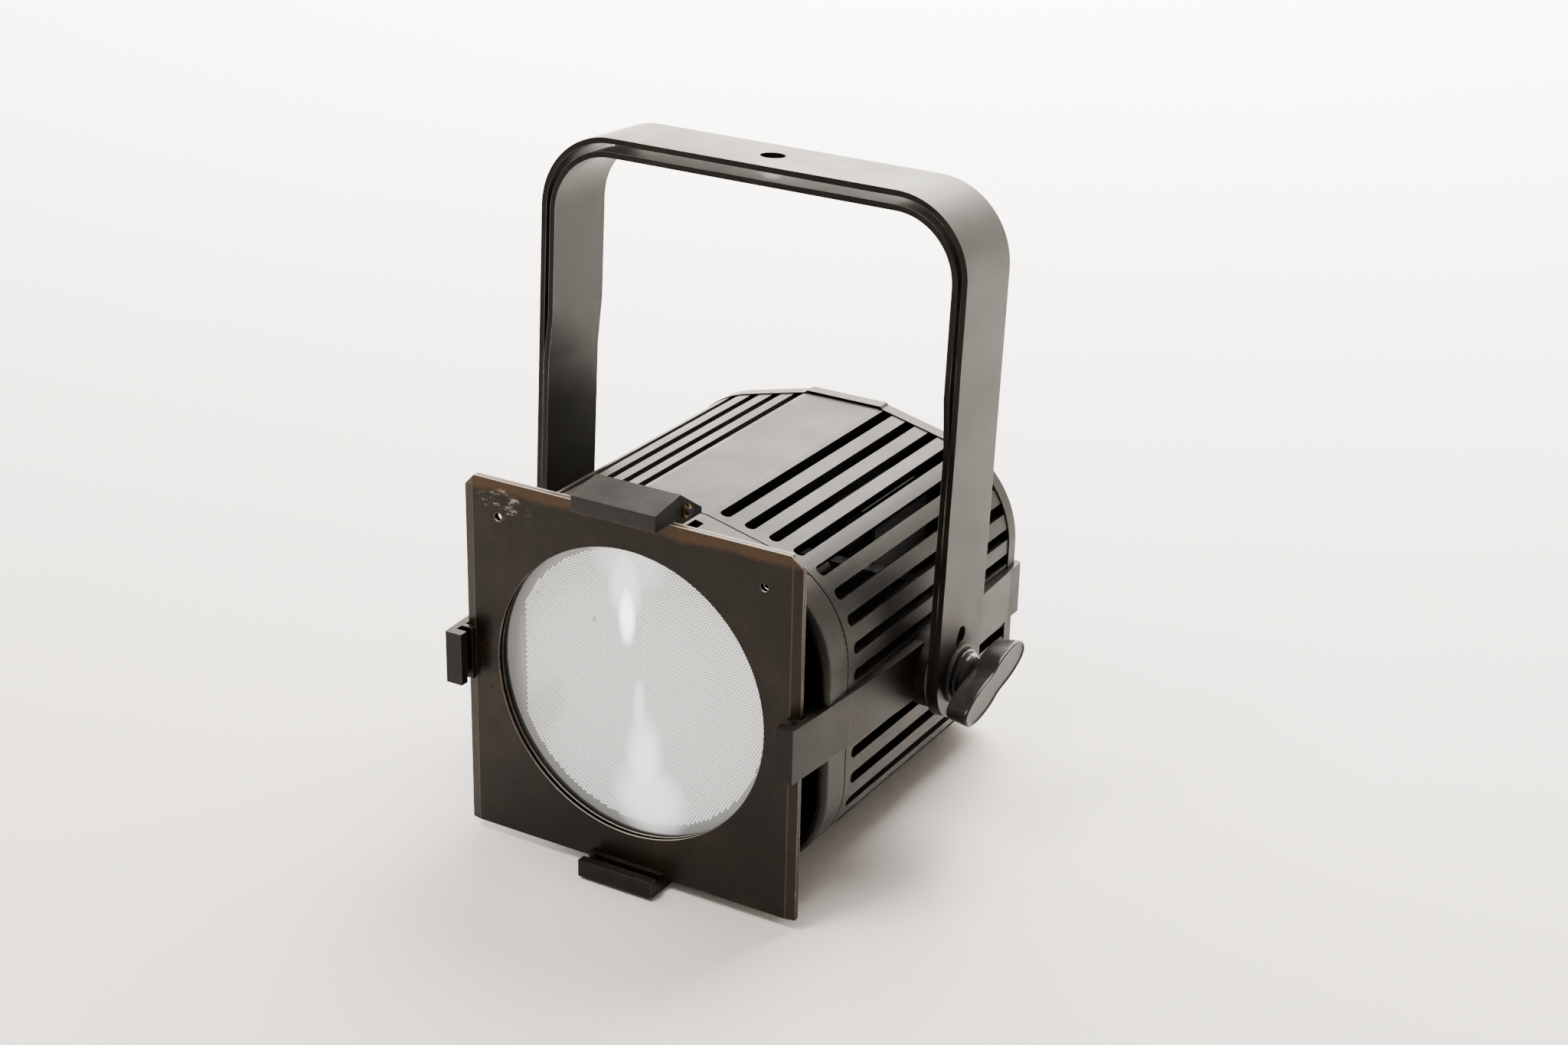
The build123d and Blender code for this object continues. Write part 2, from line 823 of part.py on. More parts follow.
with BuildPart() as driver_parts:
    with BuildSketch(plan(board_top)):
        with Locations((-driver_half / 2, driver_middle), (driver_half / 2, driver_middle)):
            Rectangle(transformer_size, transformer_size)
    extrude(amount=transformer_height)
    with BuildSketch(plan(board_top)):
        with Locations((0, driver_middle + transformer_size)):
            with GridLocations(capacitor_pitch, 1, 4, 1):
                Circle(capacitor_radius)
    extrude(amount=capacitor_height)
save(driver_parts, "driver_parts")

# Control board on four posts, with its switches, display and buttons
board_rear = panel_front - control_board_gap
board_middle = (display_up + button_up) / 2
with BuildPart() as control_board:
    with BuildSketch(behind(board_rear)):
        with Locations((0, -board_middle)):
            Rectangle(2 * control_half, control_height)
    extrude(amount=-control_thickness)
save(control_board, "control_board")

with BuildPart() as control_standoffs:
    with BuildSketch(behind(board_rear)):
        with Locations((0, -board_middle)):
            with GridLocations(
                2 * (control_half - standoff_inset), control_height - 2 * standoff_inset, 2, 2
            ):
                Circle(standoff_radius)
    extrude(amount=control_board_gap)
save(control_standoffs, "control_standoffs")

with BuildPart() as button_switches:
    with BuildSketch(behind(board_rear)):
        with Locations(*[(x, -button_up) for x in button_spots]):
            Rectangle(switch_size, switch_size)
    extrude(amount=switch_height)
    with BuildSketch(behind(board_rear + switch_height)):
        with Locations(*[(x, -button_up) for x in button_spots]):
            Circle(button_radius / 2)
    extrude(amount=switch_plunger)
save(button_switches, "button_switches")

with BuildPart() as display_module:
    with BuildSketch(behind(board_rear)):
        with Locations((0, -display_up)):
            Rectangle(display_width + module_margin, display_height + module_margin)
    extrude(amount=control_board_gap - module_gap)
save(display_module, "display_module")

with BuildPart() as display_glass:
    with BuildSketch(behind(panel_front - module_gap)):
        with Locations((0, -display_up)):
            Rectangle(display_width - 2 * seat_gap, display_height - 2 * seat_gap)
    extrude(amount=module_gap + panel_thickness - seat_gap)
save(display_glass, "display_glass")

button_back = board_rear + switch_height + switch_plunger + button_travel + seat_gap
for number, spot_x in enumerate(button_spots, 1):
    with BuildPart() as button:
        with BuildSketch(behind(button_back)):
            with Locations((spot_x, -button_up)):
                Circle(button_radius)
        extrude(amount=panel_back + button_proud - button_back)
        fillet(faces().sort_by(Axis.Y)[-1].edges(), button_round)
        with BuildSketch(behind(panel_front - seat_gap)):
            with Locations((spot_x, -button_up)):
                Circle(button_radius + button_flange)
        extrude(amount=-button_flange)
    save(button, f"button_{number}")

# Power and data sockets, each held by two screws
flange_back = panel_back + connector_flange
socket_floor = flange_back - socket_depth


def socket_shell(spot_x):
    """Flange, barrel, recess and screw holes that every socket has, on the active part."""
    with BuildSketch(behind(panel_back)) as flange:
        with Locations((spot_x, connector_down)):
            RectangleRounded(connector_width, connector_height, connector_round)
    extrude(flange.sketch, amount=connector_flange)
    with BuildSketch(behind(panel_back)) as barrel:
        with Locations((spot_x, connector_down)):
            Circle(connector_barrel)
    extrude(barrel.sketch, amount=-connector_length)
    with BuildSketch(behind(flange_back)) as recess:
        with Locations((spot_x, connector_down)):
            Circle(socket_radius)
    extrude(recess.sketch, amount=-socket_depth, mode=Mode.SUBTRACT)
    with BuildSketch(behind(flange_back)) as holes:
        with Locations((spot_x - screw_across, connector_down - screw_rise)):
            Circle(small_shank + running_gap)
        with Locations((spot_x + screw_across, connector_down + screw_rise)):
            Circle(small_shank + running_gap)
    extrude(holes.sketch, amount=-connector_flange, mode=Mode.SUBTRACT)


for name, spot_x in (("power_inlet", connector_spots[0]), ("power_outlet", connector_spots[1])):
    with BuildPart() as socket:
        socket_shell(spot_x)
        with BuildSketch(behind(socket_floor)):
            with Locations((spot_x, connector_down)):
                Circle(power_core)
        extrude(amount=socket_depth - core_recess)
        with BuildSketch(behind(flange_back)):
            with Locations((spot_x, connector_down)):
                with PolarLocations(socket_radius, 3, 90):
                    Rectangle(key_depth, key_width)
        extrude(amount=-core_recess, mode=Mode.SUBTRACT)
    save(socket, name)

with BuildPart() as data_in:
    socket_shell(connector_spots[2])
    with BuildSketch(behind(socket_floor)):
        with Locations((connector_spots[2], connector_down + socket_radius)):
            Rectangle(key_width, 2 * key_depth)
    extrude(amount=socket_depth - core_recess)
save(data_in, "data_in")

with BuildPart() as data_out:
    socket_shell(connector_spots[3])
    with BuildSketch(behind(socket_floor)):
        with Locations((connector_spots[3], connector_down)):
            Circle(data_core)
    extrude(amount=socket_depth - core_recess)
    with BuildSketch(behind(flange_back - core_recess)):
        with Locations((connector_spots[3], connector_down)):
            with PolarLocations(contact_circle, 3, 90):
                Circle(contact_radius + seat_gap)
    extrude(amount=-contact_length, mode=Mode.SUBTRACT)
    with BuildSketch(behind(flange_back)):
        with Locations((connector_spots[3], connector_down - tab_rise)):
            Rectangle(tab_width + 2 * seat_gap, tab_height + 2 * seat_gap)
    extrude(amount=-connector_flange, mode=Mode.SUBTRACT)
save(data_out, "data_out")

with BuildPart() as data_out_latch:
    with BuildSketch(behind(panel_back + tab_travel + seat_gap)):
        with Locations((connector_spots[3], connector_down - tab_rise)):
            Rectangle(tab_width, tab_height)
    extrude(amount=connector_flange + button_travel)
save(data_out_latch, "data_out_latch")

with BuildPart() as connector_contacts:
    with BuildSketch(behind(socket_floor)):
        with Locations((connector_spots[2], connector_down)):
            with PolarLocations(contact_circle, 3, -90):
                Circle(contact_radius)
        for spot_x in connector_spots[:2]:
            with Locations((spot_x, connector_down)):
                with PolarLocations(power_core + blade_thickness / 2, 3, 30):
                    Rectangle(blade_thickness, blade_width)
    extrude(amount=contact_length)
save(connector_contacts, "connector_contacts")

socket_screws = []
for spot_x in connector_spots:
    socket_screws.append((spot_x - screw_across, screw_rise - connector_down))
    socket_screws.append((spot_x + screw_across, -screw_rise - connector_down))
pan_screws(
    "connector_screws",
    behind(flange_back),
    flipped(socket_screws),
    small_head,
    small_shank,
    connector_flange + panel_thickness,
)

# Fuse holder with its bayonet cap
with BuildPart() as fuse_holder:
    with BuildSketch(behind(panel_back)):
        with Locations((0, fuse_down)):
            Circle(fuse_radius)
    extrude(amount=fuse_flange)
    with BuildSketch(behind(panel_back)):
        with Locations((0, fuse_down)):
            Circle(fuse_barrel)
    extrude(amount=-fuse_length)
    with BuildSketch(behind(panel_back + fuse_flange)):
        with Locations((0, fuse_down)):
            Circle(fuse_stem + running_gap)
    extrude(amount=-fuse_length, mode=Mode.SUBTRACT)
save(fuse_holder, "fuse_holder")

with BuildPart() as fuse_cap:
    with BuildSketch(behind(panel_back + fuse_flange + seat_gap)):
        with Locations((0, fuse_down)):
            Circle(fuse_cap_radius)
    extrude(amount=fuse_head)
    with BuildSketch(behind(panel_back + fuse_flange + seat_gap)):
        with Locations((0, fuse_down)):
            Circle(fuse_stem)
    extrude(amount=seat_gap + fuse_stem_gap - fuse_length)
    with BuildSketch(behind(panel_back + fuse_flange + seat_gap + fuse_head)):
        with Locations((0, fuse_down)):
            Rectangle(2 * fuse_stem, fuse_slot)
    extrude(amount=-fuse_slot, mode=Mode.SUBTRACT)
save(fuse_cap, "fuse_cap")

# Safety bracket: a welded plate and ear with the hole for the safety line's hook
ear_depth = rear_reach - ear_radius
with BuildPart() as safety_bracket:
    with BuildSketch(behind(panel_back)):
        with Locations((0, -safety_up)):
            RectangleRounded(safety_base_width, safety_base_height, safety_plate)
    extrude(amount=safety_plate)
    with BuildSketch(side(-safety_plate / 2)):
        with Locations(((panel_back + ear_depth) / 2, safety_up)):
            Rectangle(ear_depth - panel_back, 2 * ear_radius)
        with Locations((ear_depth, safety_up)):
            Circle(ear_radius)
            Circle(safety_hole_radius, mode=Mode.SUBTRACT)
    extrude(amount=safety_plate)
    with BuildSketch(behind(panel_back)):
        with Locations((-safety_screw_across, -safety_up), (safety_screw_across, -safety_up)):
            Circle(small_shank + running_gap)
    extrude(amount=safety_plate, mode=Mode.SUBTRACT)
save(safety_bracket, "safety_bracket")
pan_screws(
    "safety_screws",
    behind(panel_back + safety_plate),
    [(-safety_screw_across, -safety_up), (safety_screw_across, -safety_up)],
    small_head,
    small_shank,
    safety_plate + panel_thickness,
)

# Yokes: two bent straps, one inside the other, on the same pivots
lean = radians(yoke_lean)
pivot = (0, pivot_y, pivot_z)
strap_plane = Plane(origin=pivot, x_dir=(1, 0, 0), z_dir=(0, -cos(lean), sin(lean)))
leg_plane = Plane(origin=pivot, x_dir=(0, cos(lean), -sin(lean)), z_dir=(1, 0, 0))
leg_end = yoke_width / 2
inner_top = yoke_reach - yoke_thickness - yoke_top_gap
inner_upper = yoke_half_span - yoke_thickness - yoke_side_gap


def strap(right_side, corner):
    """A strap bent to a U: the right half of its outside path is given from the leg's end up."""
    left_side = [(-x, height) for x, height in reversed(right_side)]
    bends = [jog_round] * (len(right_side) - 2) + [corner]
    with BuildLine() as path:
        outside = FilletPolyline(*right_side, *left_side, radius=bends + bends[::-1])
        offset(outside, amount=yoke_thickness, side=Side.LEFT)
    with BuildSketch(strap_plane) as profile:
        make_face(path.edges())
    extrude(profile.sketch, amount=leg_end, both=True)
    with BuildSketch(leg_plane) as profile:
        Circle(leg_end)
        with Locations((0, yoke_reach / 2)):
            Rectangle(yoke_width, yoke_reach)
    extrude(profile.sketch, amount=yoke_half_span, both=True, mode=Mode.INTERSECT)


def drill(places, radius):
    """Holes through both legs at (depth, height) from the pivot, square to the legs."""
    with BuildSketch(leg_plane) as profile:
        with Locations(*places):
            Circle(radius)
    extrude(profile.sketch, amount=yoke_half_span, both=True, mode=Mode.SUBTRACT)


def drill_top():
    """The hanging hole, down through the strap's middle along its lean."""
    with BuildSketch(Plane(origin=pivot, x_dir=(1, 0, 0), z_dir=(0, sin(lean), cos(lean)))) as spot:
        Circle(hang_hole_radius)
    extrude(spot.sketch, amount=yoke_reach + yoke_thickness, mode=Mode.SUBTRACT)


with BuildPart() as outer_yoke:
    strap([(yoke_half_span, -leg_end), (yoke_half_span, yoke_reach)], yoke_corner)
    drill([(0, 0)], stud_radius + running_gap)
    drill([(0, lock_hole_reach)], lock_hole_radius)
    drill([(-lock_notch, lock_hole_reach - lock_notch)], lock_notch_radius)
    drill_top()
save(outer_yoke, "outer_yoke")

with BuildPart() as inner_yoke:
    strap(
        [
            (inner_leg_out, -leg_end),
            (inner_leg_out, jog_height - jog_length),
            (inner_upper, jog_height),
            (inner_upper, inner_top),
        ],
        yoke_corner - yoke_thickness - yoke_side_gap,
    )
    drill([(0, 0)], stud_radius + running_gap)
    drill([(0, lock_hole_reach)], set_screw_radius + running_gap)
    drill_top()
save(inner_yoke, "inner_yoke")

# Locking set screws in the inner yoke's legs, seen through the outer yoke's lock holes
inner_leg_in = inner_leg_out - yoke_thickness
with BuildPart() as yoke_set_screws:
    with BuildSketch(leg_plane.offset(inner_leg_in)):
        with Locations((0, lock_hole_reach)):
            Circle(set_screw_radius)
            RegularPolygon(set_screw_radius / 2, 6, mode=Mode.SUBTRACT)
    extrude(amount=yoke_thickness)
    mirror(about=Plane.YZ)
save(yoke_set_screws, "yoke_set_screws")

# Clamp stack on each side: friction disc, washer, stud and winged knob
pivot_side = Plane(origin=pivot, x_dir=(0, 1, 0), z_dir=(1, 0, 0))
with BuildPart() as friction_disc_right:
    with BuildSketch(pivot_side.offset(boss_reach + seat_gap)):
        Circle(boss_radius)
        Circle(stud_radius + running_gap, mode=Mode.SUBTRACT)
    extrude(amount=disc_thickness)
save(friction_disc_right, "friction_disc_right")
friction_disc_left = mirrored(friction_disc_right, "friction_disc_left")

washer_in = yoke_half_span + seat_gap
with BuildPart() as clamp_washer_right:
    with BuildSketch(pivot_side.offset(washer_in)):
        Circle(washer_radius)
        Circle(stud_radius + running_gap, mode=Mode.SUBTRACT)
    extrude(amount=washer_thickness)
    fillet(faces().sort_by(Axis.X)[-1].edges(), washer_round)
save(clamp_washer_right, "clamp_washer_right")
clamp_washer_left = mirrored(clamp_washer_right, "clamp_washer_left")

knob_in = washer_in + washer_thickness + seat_gap
wing_in = knob_in + knob_flange_thickness + knob_hub_length
stud_end = wing_in + knob_thickness / 2
with BuildPart() as knob_right:
    with BuildSketch(pivot_side.offset(knob_in)):
        Circle(knob_flange_radius)
    extrude(amount=knob_flange_thickness)
    with BuildSketch(pivot_side.offset(knob_in + knob_flange_thickness)):
        Circle(knob_hub_radius)
    extrude(amount=knob_hub_length)
    with BuildSketch(pivot_side.offset(wing_in)):
        with BuildLine(Plane.XY.rotated((0, 0, knob_tilt))):
            tip = knob_length / 2
            upper_edge = Spline(
                (-tip, 0),
                (-knob_belly, knob_bulge_low),
                (knob_belly, knob_bulge_high),
                (tip, 0),
            )
            lower_edge = Spline(
                (tip, 0),
                (knob_belly, -knob_bulge_low),
                (-knob_belly, -knob_bulge_high),
                (-tip, 0),
            )
        make_face()
        fillet(vertices(), knob_tip_round)
    extrude(amount=knob_thickness)
    fillet(faces().sort_by(Axis.X)[-1].edges(), knob_round)
    with BuildSketch(pivot_side.offset(knob_in)):
        Circle(stud_radius + running_gap)
    extrude(amount=stud_end + seat_gap - knob_in, mode=Mode.SUBTRACT)
save(knob_right, "knob_right")
knob_left = mirrored(knob_right, "knob_left")

with BuildPart() as knob_stud_right:
    with BuildSketch(pivot_side.offset(half_width - wall + stud_inset)):
        Circle(stud_radius)
    extrude(amount=stud_end - (half_width - wall + stud_inset))
save(knob_stud_right, "knob_stud_right")
knob_stud_left = mirrored(knob_stud_right, "knob_stud_left")

# Latch: a pressed lid over the gel frame's top edge, on a pin through the bezel's lug
latch_half = latch_width / 2
with BuildPart() as latch:
    with BuildSketch(side(-latch_half)):
        polygon(
            [
                (lip_front, gel_half + latch_clearance),
                (lip_front, gel_half + latch_front_height),
                (latch_ridge_depth, gel_half + latch_ridge_up),
                (latch_tail_depth, gel_half + latch_tail_up),
                (latch_tail_depth, gel_half + latch_tail_up - latch_tail_drop),
                (latch_ridge_depth, gel_half + latch_tail_up - latch_tail_drop),
                (latch_knee_depth, gel_half + latch_clearance),
            ]
        )
    extrude(amount=latch_width)
    with BuildSketch(side(latch_sheet - latch_half)):
        polygon(
            [
                (lip_front + latch_sheet, gel_half - latch_front_height),
                (lip_front + latch_sheet, gel_half + latch_front_height - latch_sheet),
                (latch_ridge_depth, gel_half + latch_ridge_up - latch_sheet),
                (latch_ridge_depth, gel_half + 2 * latch_ridge_up),
                (latch_tail_depth, gel_half + 2 * latch_ridge_up),
                (latch_tail_depth, gel_half - latch_front_height),
            ]
        )
    extrude(amount=latch_width - 2 * latch_sheet, mode=Mode.SUBTRACT)
    with BuildSketch(side(-latch_half)):
        with Locations((latch_pin_depth, latch_pin_z)):
            Circle(latch_pin_radius + running_gap)
    extrude(amount=latch_width, mode=Mode.SUBTRACT)
    fillet(latch.edges().filter_by(Axis.X).group_by(Axis.Y)[0], latch_round)
save(latch, "latch")

with BuildPart() as latch_pin:
    with BuildSketch(side(-latch_pin_half)):
        with Locations((latch_pin_depth, latch_pin_z)):
            Circle(latch_pin_radius)
    extrude(amount=2 * latch_pin_half)
save(latch_pin, "latch_pin")

with BuildPart() as latch_clips:
    with BuildSketch(side(latch_half + seat_gap)):
        with Locations((latch_pin_depth, latch_pin_z)):
            Circle(clip_radius)
            Circle(latch_pin_radius + running_gap, mode=Mode.SUBTRACT)
        with Locations((latch_pin_depth, latch_pin_z + clip_radius)):
            Rectangle(latch_pin_radius, 2 * clip_radius, mode=Mode.SUBTRACT)
    extrude(amount=clip_thickness)
    mirror(about=Plane.YZ)
save(latch_clips, "latch_clips")

coil_radius = latch_pin_radius + 2 * spring_wire
coil_start = (lug_width / 2 + spring_wire, face_y + latch_pin_depth, axis_z + latch_pin_z)
with BuildPart() as latch_spring:
    with BuildLine() as coil:
        Helix(
            pitch=spring_pitch,
            height=spring_pitch * spring_turns,
            radius=coil_radius,
            center=coil_start,
            direction=(1, 0, 0),
        )
    with BuildSketch(Plane(origin=coil.line @ 0, z_dir=coil.line % 0)):
        Circle(spring_wire / 2)
    sweep()
save(latch_spring, "latch_spring")
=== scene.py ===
# Fresnel spotlight with a double yoke, standing on its front frame holder and rear ring.
import bpy
import bmesh
import math
from mathutils import Matrix, Vector


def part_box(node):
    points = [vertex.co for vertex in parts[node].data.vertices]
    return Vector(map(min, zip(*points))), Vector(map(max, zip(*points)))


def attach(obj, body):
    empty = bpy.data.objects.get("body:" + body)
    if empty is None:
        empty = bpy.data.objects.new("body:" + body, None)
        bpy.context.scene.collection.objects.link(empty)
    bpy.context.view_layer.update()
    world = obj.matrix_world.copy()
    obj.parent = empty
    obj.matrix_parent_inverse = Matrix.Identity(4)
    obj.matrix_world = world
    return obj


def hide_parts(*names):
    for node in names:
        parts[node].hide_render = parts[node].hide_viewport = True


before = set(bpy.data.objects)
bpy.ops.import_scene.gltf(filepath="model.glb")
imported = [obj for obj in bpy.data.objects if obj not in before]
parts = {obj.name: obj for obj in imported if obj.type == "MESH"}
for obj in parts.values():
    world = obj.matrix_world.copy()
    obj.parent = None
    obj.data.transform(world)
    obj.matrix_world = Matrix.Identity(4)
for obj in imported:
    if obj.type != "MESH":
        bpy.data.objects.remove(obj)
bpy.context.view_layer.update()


# Camera: a long lens from the front right, looking down from above the yoke's top, set so that
# the fixture stands in the frame as the real one does.
camera_place = Vector((0.63756, -1.07249, 0.68505))
camera_right = Vector((0.862058, 0.506359, 0.021372))
camera_up = Vector((-0.216081, 0.329071, 0.919250))
camera_back = Vector((0.458437, -0.797065, 0.393093))
camera_data = bpy.data.cameras.new("camera")
camera_data.lens = 61.46  # millimetres, on a full-frame sensor
camera_data.sensor_width = 36.0
camera_data.clip_start = 0.05
camera_data.clip_end = 60.0
camera = bpy.data.objects.new("camera", camera_data)
bpy.context.collection.objects.link(camera)
camera.matrix_world = Matrix((
    (camera_right.x, camera_up.x, camera_back.x, camera_place.x),
    (camera_right.y, camera_up.y, camera_back.y, camera_place.y),
    (camera_right.z, camera_up.z, camera_back.z, camera_place.z),
    (0, 0, 0, 1),
))
bpy.context.scene.camera = camera


# Main housing, front bezel and rear ring: aluminium castings with a fine-textured black powder
# coat, screwed together front to back. Their corners are rubbed where accessories slide in and
# where the fixture is set down, and the faces turned up are lighter, with dust and a painted
# sheen of light from above.
def start_group(name, inputs, outputs):
    """A shader node group with named inputs (name, type, value) and outputs (name, type)."""
    group = bpy.data.node_groups.new(name, "ShaderNodeTree")
    for label, kind, value in inputs:
        socket = group.interface.new_socket(name=label, in_out="INPUT", socket_type=kind)
        if value is not None:
            socket.default_value = value
    for label, kind in outputs:
        group.interface.new_socket(name=label, in_out="OUTPUT", socket_type=kind)
    start = group.nodes.new("NodeGroupInput")
    end = group.nodes.new("NodeGroupOutput")
    return group, start, end


def feed(tree, socket, value):
    """Links a socket to another, or sets it to a value."""
    if isinstance(value, bpy.types.NodeSocket):
        tree.links.new(value, socket)
    else:
        socket.default_value = value


def put(tree, kind, settings=None, **inputs):
    """A node with its settings, and its input sockets set to a value or linked to a socket."""
    node = tree.nodes.new(kind)
    for label, value in (settings or {}).items():
        setattr(node, label, value)
    for label, value in inputs.items():
        place = int(label[1:]) if label[1:].isdigit() else label.replace("_", " ")
        feed(tree, node.inputs[place], value)
    return node


def blend_colours(tree, share, first, second):
    """The colour between two, by a share that varies over the surface."""
    mix = put(tree, "ShaderNodeMix", {"data_type": "RGBA"}, Factor=share)
    feed(tree, mix.inputs[6], first)
    feed(tree, mix.inputs[7], second)
    return mix.outputs[2]


def spread(tree, value, low, high, to_low=0.0, to_high=1.0):
    """A value between two limits, stretched to two others."""
    node = put(tree, "ShaderNodeMapRange", {"interpolation_type": "SMOOTHSTEP"}, Value=value)
    for label, limit in (("From Min", low), ("From Max", high), ("To Min", to_low),
                         ("To Max", to_high)):
        feed(tree, node.inputs[label], limit)
    return node.outputs[0]


def maths(tree, operation, first, second=0.0):
    """One arithmetic step between sockets or numbers."""
    return put(tree, "ShaderNodeMath", {"operation": operation}, _0=first, _1=second).outputs[0]


def speckle(tree, place, scale, detail=3.0, rough=0.6, stretch=None):
    """Noise over the surface, stretched along an axis if wanted."""
    if stretch:
        place = put(tree, "ShaderNodeVectorMath", {"operation": "MULTIPLY"}, _0=place,
                    _1=stretch).outputs[0]
    return put(tree, "ShaderNodeTexNoise", None, Vector=place, Scale=scale, Detail=detail,
               Roughness=rough).outputs["Fac"]


coat_group, coat_in, coat_out = start_group(
    "powder_coat",
    [
        ("Vector", "NodeSocketVector", None),
        ("Dark", "NodeSocketColor", (0.01, 0.01, 0.01, 1)),
        ("Light", "NodeSocketColor", (0.03, 0.03, 0.03, 1)),
        ("Grain Scale", "NodeSocketFloat", 1500.0),
        ("Cloud Scale", "NodeSocketFloat", 22.0),
        ("Rough Low", "NodeSocketFloat", 0.4),
        ("Rough High", "NodeSocketFloat", 0.6),
    ],
    [
        ("Colour", "NodeSocketColor"),
        ("Roughness", "NodeSocketFloat"),
        ("Height", "NodeSocketFloat"),
    ],
)
coat_place = coat_in.outputs["Vector"]
cloud_part, grain_part = 0.7, 0.3  # how much each adds to the lighter colour
grain = speckle(coat_group, coat_place, coat_in.outputs["Grain Scale"], 2.5)
clouds = speckle(coat_group, coat_place, coat_in.outputs["Cloud Scale"], 5.0, 0.65)
lighter = maths(coat_group, "ADD", spread(coat_group, clouds, 0.35, 0.7, 0.0, cloud_part),
                spread(coat_group, grain, 0.4, 0.7, 0.0, grain_part))
feed(coat_group, coat_out.inputs["Colour"],
     blend_colours(coat_group, lighter, coat_in.outputs["Dark"], coat_in.outputs["Light"]))
feed(coat_group, coat_out.inputs["Roughness"],
     spread(coat_group, clouds, 0.3, 0.7, coat_in.outputs["Rough Low"],
            coat_in.outputs["Rough High"]))
feed(coat_group, coat_out.inputs["Height"], grain)

wear_group, wear_in, wear_out = start_group(
    "edge_wear",
    [
        ("Vector", "NodeSocketVector", None),
        ("Radius", "NodeSocketFloat", 0.0008),
        ("Breakup Scale", "NodeSocketFloat", 120.0),
        ("Line", "NodeSocketFloat", 0.3),
        ("Chips", "NodeSocketFloat", 0.3),
    ],
    [("Mask", "NodeSocketFloat")],
)
wear_place = wear_in.outputs["Vector"]
chip_start, chip_full = 0.985, 0.86  # how far the rounded normal turns from the face's own
line_start, line_full = 0.90, 0.76
chip_level, chip_solid = 0.74, 0.80
patch_scale = 14.0
soft_corner = put(wear_group, "ShaderNodeBevel", {"samples": 6},
                  Radius=wear_in.outputs["Radius"])
true_face = put(wear_group, "ShaderNodeNewGeometry")
same_way = put(wear_group, "ShaderNodeVectorMath", {"operation": "DOT_PRODUCT"},
               _0=soft_corner.outputs[0], _1=true_face.outputs["Normal"]).outputs["Value"]
near_corner = spread(wear_group, same_way, chip_start, chip_full)
at_corner = spread(wear_group, same_way, line_start, line_full)
breakup = speckle(wear_group, wear_place, wear_in.outputs["Breakup Scale"], 6.0, 0.7)
patches = speckle(wear_group, wear_place, patch_scale, 2.0)
line_strength = maths(wear_group, "MULTIPLY", wear_in.outputs["Line"],
                      spread(wear_group, patches, 0.4, 0.62))
line = maths(wear_group, "MULTIPLY", at_corner, line_strength)
chip_height = maths(wear_group, "ADD", breakup,
                    maths(wear_group, "MULTIPLY", wear_in.outputs["Chips"], patches))
chips = maths(wear_group, "MULTIPLY", near_corner,
              spread(wear_group, chip_height, chip_level, chip_solid))
feed(wear_group, wear_out.inputs["Mask"], maths(wear_group, "MAXIMUM", line, chips))

# Dust and painted sheen: faces turned up are lightened in noisy patches, partly settled dust and
# partly painted light from above.
dust_and_sheen_group, dust_and_sheen_in, dust_and_sheen_out = start_group(
    "dust_and_top_sheen",
    [("Vector", "NodeSocketVector", None), ("Amount", "NodeSocketFloat", 0.3)],
    [("Mask", "NodeSocketFloat")],
)
drift_scale = 30.0
face_way = put(dust_and_sheen_group, "ShaderNodeNewGeometry").outputs["Normal"]
upward = put(dust_and_sheen_group, "ShaderNodeSeparateXYZ", None, Vector=face_way).outputs["Z"]
drift = speckle(dust_and_sheen_group, dust_and_sheen_in.outputs["Vector"], drift_scale, 7.0, 0.7)
dust_and_sheen_mask = maths(dust_and_sheen_group, "MULTIPLY", spread(dust_and_sheen_group, upward, 0.1, 0.95),
                spread(dust_and_sheen_group, drift, 0.35, 0.75))
feed(dust_and_sheen_group, dust_and_sheen_out.inputs["Mask"],
     maths(dust_and_sheen_group, "MULTIPLY", dust_and_sheen_mask, dust_and_sheen_in.outputs["Amount"]))


def start_material(name):
    """An empty material with its shader, the surface's own coordinates and its output."""
    material = bpy.data.materials.new(name)
    material.use_nodes = True
    tree = material.node_tree
    shader = tree.nodes["Principled BSDF"]
    place = tree.nodes.new("ShaderNodeTexCoord").outputs["Object"]
    return material, tree, shader, place


def drop_in(tree, group, **inputs):
    """A placed copy of a node group with this material's own values."""
    node = tree.nodes.new("ShaderNodeGroup")
    node.node_tree = group
    for label, value in inputs.items():
        feed(tree, node.inputs[label.replace("_", " ")], value)
    return node


def raise_surface(tree, shader, height, strength, distance):
    """Feeds a height to the shader's normal."""
    bump = put(tree, "ShaderNodeBump", None, Height=height, Strength=strength,
               Distance=distance)
    tree.links.new(bump.outputs[0], shader.inputs["Normal"])


def dress(names, material):
    """Gives CAD nodes their finished material."""
    for name in names:
        mesh = parts[name].data
        if not mesh.materials:
            mesh.materials.append(material)
        for index in range(len(mesh.materials)):
            mesh.materials[index] = material


coat_grain_height = 0.00015
metal_dust_and_sheen = (0.24, 0.21, 0.175, 1)


